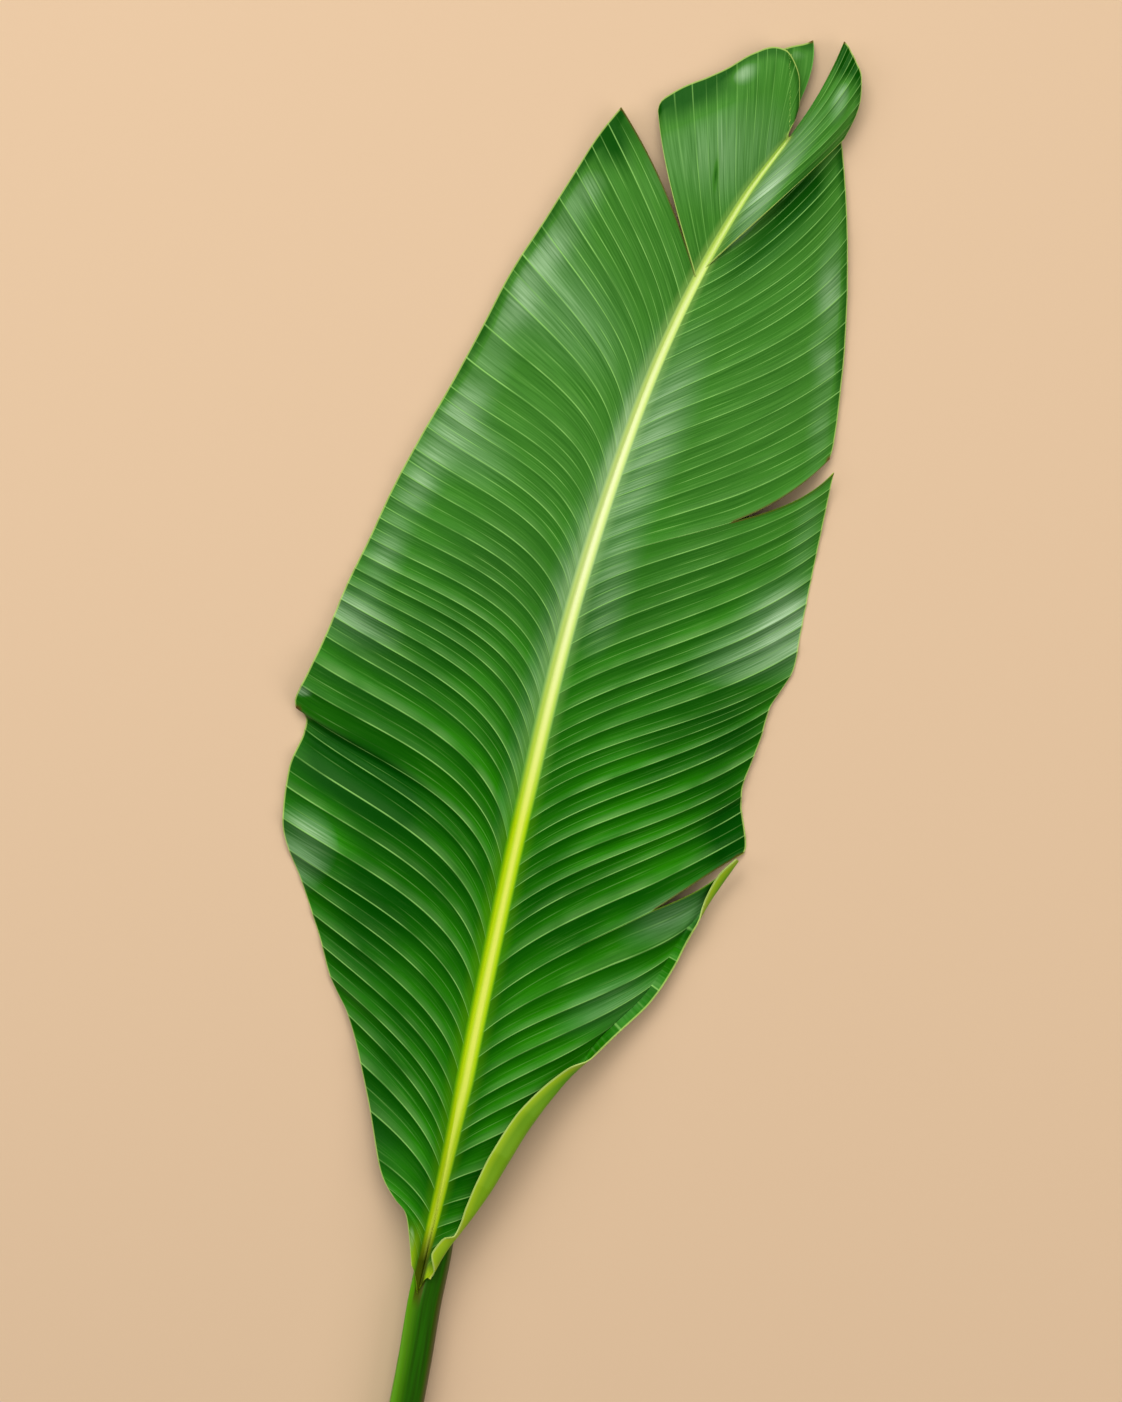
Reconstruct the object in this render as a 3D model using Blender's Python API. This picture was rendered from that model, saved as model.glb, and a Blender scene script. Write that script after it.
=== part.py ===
"""A white bird of paradise leaf (Strelitzia nicolai), cut with part of its stalk and lying face up.

The leaf grew as one piece: a stalk that runs on as the midrib, and a pleated blade on both sides of it, torn
along its side veins into lobes. Sizes are millimetres. The plan is drawn with the leaf leaning to the right:
"across" runs to the right and "along" towards the tip, both from the foot of the blade. The finished leaf is
turned by LEAN, so that it lies along +Y, and its lowest points are at height 0.
"""

import math

import bmesh
import bpy
from mathutils import Matrix, Vector

MM = 0.001
LEAN = 16.0

# The blade
THICKNESS = 0.8
PLEAT_PITCH = 11.8
PLEAT_HEIGHT = 1.3
# The pleats grow from nothing between these places along the midrib, and between these parts of each vein.
FOOT_SMOOTH = (10.0, 90.0)
PLEAT_START = 0.04
PLEAT_FULL = 0.30
# How high a vein arches over a straight line, and the vein length from which on it does so fully
CROWN = 3.4
CROWN_FULL_LENGTH = 80.0
DROOP_POWER = 1.6
GROUND_GAP = 0.4
# How far a vein keeps its first and its last heading, as parts of its length
VEIN_FIRST_REACH = 0.20
VEIN_LAST_REACH = 0.42
# The blade starts this far below the midrib's upper face, and is out of it after this part of a vein.
BLADE_SUNK = 1.5
SUNK_UNTIL = 0.07
BAND_HALF = 4.0

# How far out along each vein the rows of points stand, as parts of its length. A tear's foot is on one of them.
LEFT_COLUMNS = (0.0, 0.07, 0.18, 0.36, 0.57, 0.79, 1.0)
RIGHT_COLUMNS = (0.0, 0.07, 0.18, 0.36, 0.57, 0.66, 0.84, 1.0)
TIP_COLUMNS = (0.0, 0.12, 0.3, 0.55, 0.78, 1.0)
ROLL_STEPS = 4
ROLL_ARC_SHARE = 0.52

# The midrib's line in plan: (along, across)
RIB_LINE = (
    (0, 0), (50, 11.5), (150, 32), (250, 54), (350, 80), (450, 113.5), (500, 135.5), (550, 163.7), (581, 186.5),
)
# The height of the midrib's upper face: (along, height)
RIB_TOP = (
    (-262, 19.0), (-60, 17.6), (0, 17.0), (60, 17.8), (150, 18.6), (250, 18.4), (350, 16.4), (450, 12.8), (520, 9.4),
    (581, 6.4),
)

# The angle at which a side vein leaves the midrib: (along, degrees), on the left and on the right half.
LEFT_LEAVES_AT = ((0, 26), (80, 24), (400, 24), (509, 42), (581, 36))
RIGHT_LEAVES_AT = ((0, 30), (80, 26), (470, 24), (518, 18), (581, 14))

# Where a side vein leaves the midrib (along), where it meets the margin (across, along, height), and the way it
# heads there, in degrees outwards from straight along.
LEFT_MAIN = (
    (6, -1.8, 20, 18.6, 28),
    (12, -2.8, 33, 18.4, 32),
    (20, -4.6, 45, 17.2, 44),
    (29, -10.5, 53, 15.0, 56),
    (40, -16.6, 64, 12.0, 58),
    (60, -24.0, 103, 8.0, 52),
    (80.5, -34.0, 144, 4.5, 48),
    (87, -40.0, 156.5, 3.6, 49),
    (94, -43.6, 165, 3.0, 50),
    (104.5, -47, 178.5, 2.0, 51),
    (125.5, -56, 207, 0.9, 54),
    (150.5, -66.5, 240, 0.4, 57),
    (170, -63.5, 266, 1.2, 55),
    (186, -55.8, 285, 4.2, 52),
    (196.5, -55, 291.5, 1.6, 54),
    (203, -59.5, 299, 8.0, 55),
    (213, -56.5, 309, 8.4, 57),
    (235.5, -45, 333, 5.0, 57),
    (270.5, -34.2, 359, 3.6, 60),
    (305.5, -23.4, 381, 2.8, 60),
    (333, -12, 405.5, 3.4, 56),
    (360.5, 2.6, 432.5, 4.0, 53),
    (390.5, 17.4, 458, 3.6, 51),
    (412, 32.6, 486, 3.0, 47),
    (430, 47, 513.5, 3.4, 42),
    (452, 64.5, 540.5, 4.4, 34),
    (472, 79, 563.5, 5.4, 28),
    (490, 91, 582, 6.6, 25),
    (502, 99, 592, 7.6, 28),
    (509, 102.5, 596, 8.4, 32),
)
LEFT_UPPER = (
    (509, 122, 600, 5.0, 4),
    (512, 125.5, 602.5, 4.6, 4),
    (518, 134, 607.5, 4.4, 3),
    (528, 146, 611.5, 4.6, 1),
    (540, 156, 616, 5.2, 0),
    (553, 168.5, 623, 7.4, 0),
    (563, 178.5, 626, 8.4, -2),
    (568.5, 184.5, 624.5, 8.6, -8),
    (572, 189, 618, 8.8, -16),
    (575, 191.3, 609, 9.0, -22),
    (577.5, 191.3, 598, 8.6, -24),
    (579, 189.5, 591, 8.0, -20),
)
LEFT_TIP = (
    (572, 180, 624.5, 3.6, -2),
    (576, 188, 627, 3.4, -4),
    (579, 195, 628.5, 3.2, 2),
    (580.5, 198.5, 630, 3.4, 8),
)
# The lower right lobe also has its rolled margin: the width of the strip that turns over, and how far, in degrees.
RIGHT_LOWER = (
    (8, 7.8, 13.0, 18.6, 58, 1.8, 10),
    (12, 10.4, 18.0, 19.4, 58, 4.5, 90),
    (17, 13.8, 24.2, 19.6, 58, 8, 145),
    (22, 18, 30.4, 18.8, 57, 8, 145),
    (26, 21, 34, 17.4, 56, 6.5, 105),
    (31, 25, 39, 16.4, 55, 8, 130),
    (38, 30, 45.6, 16.4, 54, 10.5, 155),
    (48, 38.2, 57.4, 16.6, 54, 14.5, 165),
    (58, 46.4, 71, 16.6, 54, 16.5, 165),
    (68, 57, 88, 16.2, 54, 16, 165),
    (75.5, 68, 102.5, 15.2, 55, 13, 160),
    (82, 78.5, 114.5, 13.2, 56, 9, 140),
    (88, 89.5, 124, 11.4, 56, 6.5, 70),
    (94, 102, 135.4, 9.8, 54, 5, 20),
    (102, 117, 149.5, 8.0, 54, 5, 10),
    (115, 129, 167, 6.2, 54, 5, 10),
    (128, 136.4, 181.5, 5.4, 54, 5, 40),
    (134, 146.2, 199, 5.8, 52, 7, 130),
    (138, 154, 210.5, 6.6, 46, 8, 150),
    (141.5, 161, 220.4, 7.4, 38, 6, 120),
)
RIGHT_MIDDLE = (
    (141.5, 164, 224, 1.6, 63),
    (148, 165, 228, 0.6, 63),
    (156, 164.3, 236, 0.9, 60),
    (168, 162.6, 247.5, 2.2, 58),
    (182, 163, 256, 3.2, 57),
    (196, 167.5, 269, 3.2, 57),
    (208, 172.5, 282, 2.6, 57),
    (224, 176.8, 296.5, 2.0, 57),
    (240, 184.5, 308.5, 1.4, 58),
    (250, 188.8, 316, 0.9, 58),
    (264, 192, 332, 0.5, 58),
    (285, 196, 352.5, 0.5, 55),
    (304, 200.2, 373.5, 1.2, 53),
    (325, 204.5, 394, 2.4, 53),
    (344, 207.6, 409.5, 4.2, 48),
    (351.5, 208.6, 414, 5.4, 38),
)
RIGHT_UPPER = (
    (351.5, 206.5, 420.5, 3.0, 47),
    (358, 208, 425.5, 2.4, 50),
    (373, 210.3, 439, 2.2, 53),
    (390, 212.6, 459, 2.0, 52),
    (405, 214, 472.5, 2.2, 50),
    (419, 214.8, 486.5, 2.6, 47),
    (435, 215.6, 508, 3.2, 42),
    (450, 215.6, 525, 3.8, 38),
    (464, 215.4, 538.5, 3.8, 35),
    (480, 214.6, 556, 3.2, 36),
    (495, 213.6, 570, 2.4, 38),
    (507, 212.6, 580, 1.8, 39),
    (515, 211, 586.5, 1.4, 39),
)
RIGHT_TIP = (
    (514, 213.4, 580, 8.0, 44),
    (522, 217, 586.8, 8.8, 42),
    (531, 220.2, 594, 9.4, 38),
    (541, 222, 602, 9.8, 34),
    (552, 222.2, 611, 10.0, 30),
    (562, 219.6, 618.5, 9.6, 26),
    (570, 217, 623.8, 8.8, 24),
    (576, 215, 627.3, 8.0, 22),
    (580.5, 213.6, 628.8, 7.2, 21),
)
# A tear between two lobes: the vein it follows (along the midrib) and the part of that vein that is still whole.
LOWER_TEAR = (141.5, 0.66)
UPPER_TEAR = (351.5, 0.57)
# The two tip lobes slide over their neighbours: how much higher or lower they run in mid vein.
RIGHT_TIP_LIFT = 4.2
LEFT_UPPER_LIFT = 2.2
LEFT_TIP_LIFT = -1.6
RIGHT_UPPER_DIP = 2.0
RIGHT_UPPER_DIP_FROM = 470.0

# The stalk and midrib: (along, across, width, depth, how far the channel's band lies left of the axis). Where the
# depth is more than the height of the upper face, the stalk lies on the ground and is flat there.
STALK = (
    (-262, -40.5, 20.4, 19.4, 0.5),
    (-230, -35.5, 19.4, 19.2, 1.0),
    (-180, -27.3, 18.4, 18.8, 1.6),
    (-120, -17.0, 17.8, 18.4, 2.4),
    (-60, -6.4, 17.2, 17.9, 3.4),
    (-25, 0.2, 16.8, 17.5, 3.8),
    (0, 4.4, 16.8, 17.1, 4.0),
    (25, 9.6, 16.8, 16.6, 3.1),
    (50, 13.6, 15.8, 15.8, 2.1),
    (80, 18.0, 14.2, 14.4, 1.0),
    (115, 24.8, 12.6, 13.0, 0.0),
    (150, 32.0, 11.6, 12.0, 0.0),
    (200, 43.0, 10.8, 11.0, 0.0),
    (250, 54.0, 10.2, 10.2, 0.0),
    (300, 66.4, 9.6, 9.4, 0.0),
    (350, 80.0, 9.0, 8.6, 0.0),
    (400, 95.6, 8.2, 7.8, 0.0),
    (450, 113.5, 7.2, 6.8, 0.0),
    (490, 130.7, 6.2, 5.8, 0.0),
    (525, 149.0, 5.2, 4.8, 0.0),
    (555, 166.9, 4.2, 3.8, 0.0),
    (581, 186.5, 3.0, 2.6, 0.0),
)
STALK_ROWS_BETWEEN = 2
BAND_SHARE = 0.8
CHANNEL_DEPTH = 0.9
END_BEVEL = 0.8

# Half of the stalk's outline: (part of the way out, part of the depth). Down to the widest point the way out is
# from the band's edge to the half width, and below it from the axis. The last points bound the flat underside.
STALK_OUTLINE = ((0.62, 0.09), (0.93, 0.27), (1.0, 0.50), (0.86, 0.74), (0.56, 0.92), (0.26, 1.0))
WIDEST_DOWN = 0.50

# How finely the curves are walked, and how near points of two lobes are one
PITCH_SAMPLES = 400
VEIN_SAMPLES = 24
MARGIN_STEP = 0.8
WELD_DISTANCE = 0.002
SHARP_DEGREES = 40


def smooth_curve(points):
    """A function through the (place, value) points: a cubic whose slopes never overshoot them."""
    places = [float(place) for place, _ in points]
    values = [float(value) for _, value in points]
    steps = [b - a for a, b in zip(places, places[1:])]
    rises = [(b - a) / step for a, b, step in zip(values, values[1:], steps)]
    slopes = [rises[0]]
    for i in range(1, len(rises)):
        before, after = rises[i - 1], rises[i]
        near, far = steps[i - 1], steps[i]
        if before * after <= 0:
            slopes.append(0.0)
        else:
            first = 2 * far + near
            second = far + 2 * near
            slopes.append((first + second) / (first / before + second / after))
    slopes.append(rises[-1])

    def value_at(place):
        place = min(max(place, places[0]), places[-1])
        i = 0
        while i < len(steps) - 1 and place > places[i + 1]:
            i += 1
        u = (place - places[i]) / steps[i]
        whole = values[i] * (1 + 2 * u) * (1 - u) ** 2 + values[i + 1] * u * u * (3 - 2 * u)
        return whole + steps[i] * (slopes[i] * u * (1 - u) ** 2 + slopes[i + 1] * u * u * (u - 1))

    return value_at


def column_curves(stations):
    """One smooth curve for each column of a table, over its first column."""
    return [smooth_curve([(row[0], row[i]) for row in stations]) for i in range(1, len(stations[0]))]


def ease(value, start, end):
    """0 before start, 1 after end, and smooth between them."""
    u = min(max((value - start) / (end - start), 0.0), 1.0)
    return u * u * (3 - 2 * u)


rib_across = smooth_curve(RIB_LINE)
rib_top = smooth_curve(RIB_TOP)
left_leaves_at = smooth_curve(LEFT_LEAVES_AT)
right_leaves_at = smooth_curve(RIGHT_LEAVES_AT)


def line_direction(across_at, along, reach=4.0):
    """The plan direction in which a line runs, read this far before and after the place."""
    ahead = Vector((across_at(along + reach), along + reach))
    behind = Vector((across_at(along - reach), along - reach))
    return (ahead - behind).normalized()


def leaving_angle(along, side):
    return right_leaves_at(along) if side > 0 else left_leaves_at(along)


def pitch(along):
    """The distance between pleats on the midrib: they crowd towards the blade's two ends."""
    return PLEAT_PITCH * min(1.0, 0.7 + along / 200, 0.25 + (RIB_LINE[-1][0] - along) / 80)


def turned(direction, degrees):
    """A plan direction turned to the left by this many degrees."""
    c = math.cos(math.radians(degrees))
    s = math.sin(math.radians(degrees))
    return Vector((c * direction.x - s * direction.y, s * direction.x + c * direction.y))


def steps_to(running, wanted):
    """How many steps, with a fraction, it takes until the running total reaches this amount."""
    i = 0
    while i < len(running) - 2 and running[i + 1] < wanted:
        i += 1
    return i + (wanted - running[i]) / (running[i + 1] - running[i])


def vein_places(start, end):
    """Where the pleats' ridges and troughs leave the midrib, evenly by the pitch there."""
    step = (end - start) / PITCH_SAMPLES
    count = [0.0]
    for i in range(PITCH_SAMPLES):
        count.append(count[-1] + step / pitch(start + (i + 0.5) * step))
    halves = 2 * max(1, round(count[-1]))
    places = [start + step * steps_to(count, count[-1] * half / halves) for half in range(halves + 1)]
    places[0], places[-1] = start, end
    return places


def roll_arc(strip, turn):
    """The angle and radius of the rolled strip's arc, and how far it reaches out past the line where it starts."""
    angle = math.radians(turn)
    radius = strip * ROLL_ARC_SHARE / angle
    if angle >= math.pi / 2:
        return angle, radius, radius
    return angle, radius, radius * math.sin(angle) + strip * (1 - ROLL_ARC_SHARE) * math.cos(angle)


def outward_normal(curves, along, side):
    """The plan direction square to the margin, pointing out of the leaf."""
    before = Vector((curves[0](along - MARGIN_STEP), curves[1](along - MARGIN_STEP)))
    after = Vector((curves[0](along + MARGIN_STEP), curves[1](along + MARGIN_STEP)))
    return turned((after - before).normalized(), -90 * side)


def margin_end(curves, along, side):
    """Where the flat part of a vein ends, and its heading there."""
    end = Vector((curves[0](along), curves[1](along), curves[2](along)))
    if len(curves) > 4:
        _, _, reach = roll_arc(curves[4](along), curves[5](along))
        normal = outward_normal(curves, along, side)
        end.x -= reach * normal.x
        end.y -= reach * normal.y
    return end, curves[3](along)


def vein_plan(along, side, end, heading, parts):
    """Plan points of a side vein at these parts of its length: it leaves the midrib nearly along it and sweeps out."""
    start = Vector((rib_across(along), along))
    target = Vector((end.x, end.y))
    length = (target - start).length
    leaving = turned(line_direction(rib_across, along), -side * leaving_angle(along, side))
    arriving = turned(Vector((0, 1)), -side * heading)
    first = start + leaving * length * VEIN_FIRST_REACH
    last = target - arriving * length * VEIN_LAST_REACH
    walk = []
    for i in range(VEIN_SAMPLES + 1):
        u = i / VEIN_SAMPLES
        v = 1 - u
        walk.append(start * v ** 3 + first * 3 * u * v * v + last * 3 * u * u * v + target * u ** 3)
    run = [0.0]
    for a, b in zip(walk, walk[1:]):
        run.append(run[-1] + (b - a).length)
    points = []
    for part in parts:
        steps = steps_to(run, part * run[-1])
        i = min(int(steps), VEIN_SAMPLES - 1)
        points.append(walk[i].lerp(walk[i + 1], steps - i))
    return points


def pleat_rise(along, pleat):
    """How far a ridge (1) stands above the blade's middle surface, or a trough (-1) below it."""
    return pleat * 0.5 * PLEAT_HEIGHT * pitch(along) / PLEAT_PITCH * ease(along, *FOOT_SMOOTH)


def vein_points(along, side, end, heading, parts, pleat, lift):
    """Points of a side vein: risen beside the midrib, crowned, and drooping to the margin's height."""
    top = rib_top(along)
    length = math.hypot(end.x - rib_across(along), end.y - along)
    crown = CROWN * min(1.0, length / CROWN_FULL_LENGTH) + lift
    points = []
    for part, plan in zip(parts, vein_plan(along, side, end, heading, parts)):
        height = top + (end.z - top) * part ** DROOP_POWER + 4 * crown * part * (1 - part)
        height += pleat_rise(along, pleat) * ease(part, PLEAT_START, PLEAT_FULL)
        height -= BLADE_SUNK * (1 - ease(part, 0.0, SUNK_UNTIL))
        points.append(Vector((plan.x, plan.y, max(height, GROUND_GAP))))
    return points


def rolled_points(curves, along, side, end, pleat):
    """The points of the margin strip that turns over, from the flat part's end to its free edge."""
    strip = curves[4](along)
    angle, radius, _ = roll_arc(strip, curves[5](along))
    normal = outward_normal(curves, along, side)
    points = []
    for i in range(1, ROLL_STEPS + 1):
        walked = strip * i / ROLL_STEPS
        bent = min(walked / radius, angle)
        straight = max(walked - radius * angle, 0.0)
        out = radius * math.sin(bent) + straight * math.cos(bent)
        up = radius * (1 - math.cos(bent)) + straight * math.sin(bent) + pleat_rise(along, pleat)
        points.append(Vector((end.x + out * normal.x, end.y + out * normal.y, end.z + up)))
    return points


def lobe_rows(stations, side, columns, lift=0.0, dip=None, tears=()):
    """The rows of points of one lobe, one for each ridge or trough. A tear is (along, whole part, margin point)."""
    curves = column_curves(stations)
    rows = []
    places = vein_places(stations[0][0], stations[-1][0])
    for k, along in enumerate(places):
        pleat = 1.0 if k % 2 == 0 else -1.0
        end, heading = margin_end(curves, along, side)
        raised = lift - (dip(along) if dip else 0.0)
        points = vein_points(along, side, end, heading, columns, pleat, raised)
        for tear_along, whole, middle, middle_heading in tears:
            if along != tear_along:
                continue
            shared = vein_points(along, side, middle, middle_heading, columns, pleat, 0.0)
            open_parts = [max(part - whole, 0.0) / (1 - whole) for part in columns]
            points = [common.lerp(own, part) for part, common, own in zip(open_parts, shared, points)]
        if len(curves) > 4:
            points += rolled_points(curves, along, side, end, pleat)
        rows.append(points)
    return rows


def tear_between(tear, first, second, side):
    """The vein a tear follows, from the two lobes' tables: it ends midway between their corners."""
    ends = [margin_end(column_curves(stations), tear[0], side) for stations in (first, second)]
    middle = (ends[0][0] + ends[1][0]) / 2
    return tear[0], tear[1], middle, (ends[0][1] + ends[1][1]) / 2


def add_rows(bm, rows, side):
    """Joins the rows of points with triangles, facing up on both halves of the leaf."""
    grid = [[bm.verts.new(point) for point in row] for row in rows]
    for k in range(len(grid) - 1):
        for c in range(len(grid[0]) - 1):
            a, b = grid[k][c], grid[k][c + 1]
            d, e = grid[k + 1][c], grid[k + 1][c + 1]
            loops = ((a, b, e), (a, e, d)) if side > 0 else ((a, e, b), (a, d, e))
            for loop in loops:
                bm.faces.new(loop)


def sheet_object(name, lobes):
    """A blade sheet of the given thickness, made from lobes of (rows, side)."""
    bm = bmesh.new()
    for rows, side in lobes:
        add_rows(bm, rows, side)
    bmesh.ops.remove_doubles(bm, verts=bm.verts, dist=WELD_DISTANCE)
    sheet = finished_object(name, bm)
    solidify = sheet.modifiers.new("thickness", "SOLIDIFY")
    solidify.thickness = THICKNESS
    solidify.offset = 0.0
    solidify.use_even_offset = False
    apply_modifiers(sheet)
    return sheet


def finished_object(name, bm):
    mesh = bpy.data.meshes.new(name)
    bm.to_mesh(mesh)
    bm.free()
    made = bpy.data.objects.new(name, mesh)
    bpy.context.scene.collection.objects.link(made)
    return made


def apply_modifiers(made):
    """Puts the evaluated shape into the object's own mesh."""
    bpy.context.view_layer.update()
    graph = bpy.context.evaluated_depsgraph_get()
    mesh = bpy.data.meshes.new_from_object(made.evaluated_get(graph))
    made.modifiers.clear()
    made.data = mesh


def make_blade():
    """Both halves of the blade below the tip lobes: one sheet, with its tears open."""
    lower = tear_between(LOWER_TEAR, RIGHT_LOWER, RIGHT_MIDDLE, 1)
    upper = tear_between(UPPER_TEAR, RIGHT_MIDDLE, RIGHT_UPPER, 1)

    def sink(along):
        return RIGHT_UPPER_DIP * ease(along, RIGHT_UPPER_DIP_FROM, RIGHT_UPPER[-1][0])

    return sheet_object("blade", [
        (lobe_rows(LEFT_MAIN, -1, LEFT_COLUMNS), -1),
        (lobe_rows(RIGHT_LOWER, 1, RIGHT_COLUMNS, tears=[lower]), 1),
        (lobe_rows(RIGHT_MIDDLE, 1, RIGHT_COLUMNS, tears=[lower, upper]), 1),
        (lobe_rows(RIGHT_UPPER, 1, RIGHT_COLUMNS, dip=sink, tears=[upper]), 1),
    ])


def make_tip_lobes():
    """The three lobes at the tip, which slide over one another."""
    return [
        sheet_object("left_upper_lobe", [(lobe_rows(LEFT_UPPER, -1, TIP_COLUMNS, LEFT_UPPER_LIFT), -1)]),
        sheet_object("left_tip_lobe", [(lobe_rows(LEFT_TIP, -1, TIP_COLUMNS, LEFT_TIP_LIFT), -1)]),
        sheet_object("right_tip_lobe", [(lobe_rows(RIGHT_TIP, 1, TIP_COLUMNS, RIGHT_TIP_LIFT), 1)]),
    ]


def stalk_section(along, curves):
    """The outline across the stalk: a channelled band on top, full sides and a narrow flat underside."""
    across, width, depth, shift = [curve(along) for curve in curves]
    top = rib_top(along)
    half = width / 2
    band = min(BAND_HALF, half * BAND_SHARE)
    sideways = turned(line_direction(curves[0], along), -90)
    halves = []
    for edge in (band - shift, band + shift):
        outline = [(edge, 0.0)]
        for part, down in STALK_OUTLINE:
            reach = edge + (half - edge) * part if down <= WIDEST_DOWN else half * part
            outline.append((reach, -depth * down))
        halves.append(outline)
    right, left = halves
    offsets = [(-shift, -CHANNEL_DEPTH * band / BAND_HALF)] + right + [(-x, z) for x, z in reversed(left)]
    return [
        Vector((across + sideways.x * x, along + sideways.y * x, max(top + z, 0.0))) for x, z in offsets
    ]


def make_stalk():
    """The stalk and midrib, drawn through its sections from the cut end to the tip."""
    curves = column_curves(STALK)
    places = []
    for a, b in zip(STALK, STALK[1:]):
        for i in range(STALK_ROWS_BETWEEN):
            places.append(a[0] + (b[0] - a[0]) * i / STALK_ROWS_BETWEEN)
    places.append(STALK[-1][0])
    bm = bmesh.new()
    rings = [[bm.verts.new(point) for point in stalk_section(along, curves)] for along in places]
    for near, far in zip(rings, rings[1:]):
        for i in range(len(near)):
            j = (i + 1) % len(near)
            bm.faces.new((near[i], near[j], far[j], far[i]))
    cut_end = bm.faces.new(rings[0])
    bm.faces.new(rings[-1])
    bmesh.ops.recalc_face_normals(bm, faces=bm.faces)
    bmesh.ops.bevel(
        bm, geom=list(cut_end.edges), offset=END_BEVEL, segments=1, affect="EDGES", profile=0.5,
    )
    bmesh.ops.triangulate(bm, faces=bm.faces)
    return finished_object("leaf", bm)


def join_all(body, others):
    """One solid from the stalk and the blade's sheets."""
    pieces = bpy.data.collections.new("pieces")
    bpy.context.scene.collection.children.link(pieces)
    for other in others:
        bpy.context.scene.collection.objects.unlink(other)
        pieces.objects.link(other)
    union = body.modifiers.new("union", "BOOLEAN")
    union.operation = "UNION"
    union.operand_type = "COLLECTION"
    union.collection = pieces
    union.solver = "EXACT"
    apply_modifiers(body)
    for other in others:
        bpy.data.objects.remove(other)
    bpy.data.collections.remove(pieces)


def turn_upright(made):
    """Turns the leaf to lie along +Y, in metres, with its box's middle at the origin and its lowest point at 0."""
    mesh = made.data
    mesh.transform(Matrix.Rotation(math.radians(LEAN), 4, "Z") @ Matrix.Scale(MM, 4))
    low = Vector([min(v.co[i] for v in mesh.vertices) for i in range(3)])
    high = Vector([max(v.co[i] for v in mesh.vertices) for i in range(3)])
    middle = (low + high) / 2
    mesh.transform(Matrix.Translation((-middle.x, -middle.y, -low.z)))


def leaf_material():
    """Fresh green leaf: deep green with a satin cuticle."""
    material = bpy.data.materials.new("leaf")
    material.use_nodes = True
    shader = material.node_tree.nodes["Principled BSDF"]
    shader.inputs["Base Color"].default_value = (0.022, 0.13, 0.012, 1.0)
    shader.inputs["Roughness"].default_value = 0.38
    shader.inputs["Metallic"].default_value = 0.0
    return material


def main():
    for old in list(bpy.data.objects):
        bpy.data.objects.remove(old)
    leaf = make_stalk()
    join_all(leaf, [make_blade()] + make_tip_lobes())
    turn_upright(leaf)
    leaf.data.materials.clear()
    leaf.data.materials.append(leaf_material())
    leaf.data.shade_smooth()
    leaf.data.set_sharp_from_angle(angle=math.radians(SHARP_DEGREES))


if __name__ == "__main__":
    main()
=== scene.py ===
"""A white bird of paradise leaf (Strelitzia nicolai), cut with part of its stalk and lying face up.

The leaf's fine form is worked out from the same named measurements as the plain solid it stands for: plan
sizes in millimetres, "across" to the right and "along" towards the tip, both from the foot of the blade.
Each side vein is a sharp ridge, with a smooth trough between it and the next one.
"""

import math

import bpy
import numpy as np
from bpy.props import FloatProperty, FloatVectorProperty, PointerProperty
from bpy.types import Operator, Panel, PropertyGroup
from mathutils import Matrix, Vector


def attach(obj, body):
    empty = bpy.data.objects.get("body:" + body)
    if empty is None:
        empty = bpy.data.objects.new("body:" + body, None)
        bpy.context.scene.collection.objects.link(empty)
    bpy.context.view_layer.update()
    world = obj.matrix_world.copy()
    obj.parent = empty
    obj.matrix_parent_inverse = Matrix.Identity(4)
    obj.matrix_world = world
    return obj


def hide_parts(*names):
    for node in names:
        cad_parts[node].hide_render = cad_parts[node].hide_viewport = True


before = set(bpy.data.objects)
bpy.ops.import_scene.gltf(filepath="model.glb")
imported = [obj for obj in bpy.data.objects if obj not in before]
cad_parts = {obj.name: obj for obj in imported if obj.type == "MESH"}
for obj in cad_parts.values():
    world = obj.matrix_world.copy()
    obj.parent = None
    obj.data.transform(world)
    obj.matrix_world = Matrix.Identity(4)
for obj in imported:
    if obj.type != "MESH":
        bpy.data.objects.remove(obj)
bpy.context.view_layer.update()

bl_info = {
    "name": "White bird of paradise leaf",
    "version": (1, 0, 0),
    "blender": (4, 5, 0),
    "location": "3D View > Sidebar > Leaf",
    "description": "Builds the pleated blade, the midrib and the stalk of one leaf, with a plain stage",
    "category": "Add Mesh",
}

MM = 0.001
# The plan is turned to the left by LEAN degrees. This point of the turned plan lies at the frame's origin.
LEAN = 16.0
PLAN_MIDDLE = (-22.095, 199.268)

# The blade, as the plain solid has it
PLEAT_PITCH = 11.8
# The share of that pitch at each end of the blade, and the way along in which it grows by one whole pitch
FOOT_PITCH = (0.7, 200.0)
TIP_PITCH = (0.5, 80.0)
# The blade turns from smooth at its foot to pleated between these places along, and each vein does so
# between these parts of its length.
FOOT_SMOOTH = (10.0, 90.0)
PLEATS_RISE = (0.04, 0.30)
# Each half crowns in mid vein, by its full measure where the vein is this long, and droops to the margin.
CROWN = 3.4
CROWN_FULL_LENGTH = 80.0
DROOP_POWER = 1.6
GROUND_GAP = 0.4
# The blade is sunk under the midrib's band, as far as this part of each vein.
BLADE_SUNK = 1.5
SUNK_UNTIL = 0.07
BAND_HALF = 4.0
# Beyond these places along, the blade is sunk over the band's width instead of over a part of each vein.
SUNK_BY_WIDTH = (40.0, 100.0)
BAND_EDGE_SUNK = 0.4
# It rises again between these places across the band, in half widths: from under it, and beside its edge.
RISES_UNDER_BAND = (0.35, 0.95)
RISES_BESIDE_BAND = (1.0, 1.5)
# The part of the rolled margin's strip that bends, and the step along over which its direction is read
ROLL_ARC_SHARE = 0.52
MARGIN_STEP = 0.8

# Towards the tip the pleats lose this share of their form, over these places along.
FLATTER_BY = 0.68
FLATTER_FROM = (230.0, 400.0)
# Veins closer together than this have lower pleats between them.
FULL_SPACING = 9.0

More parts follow.
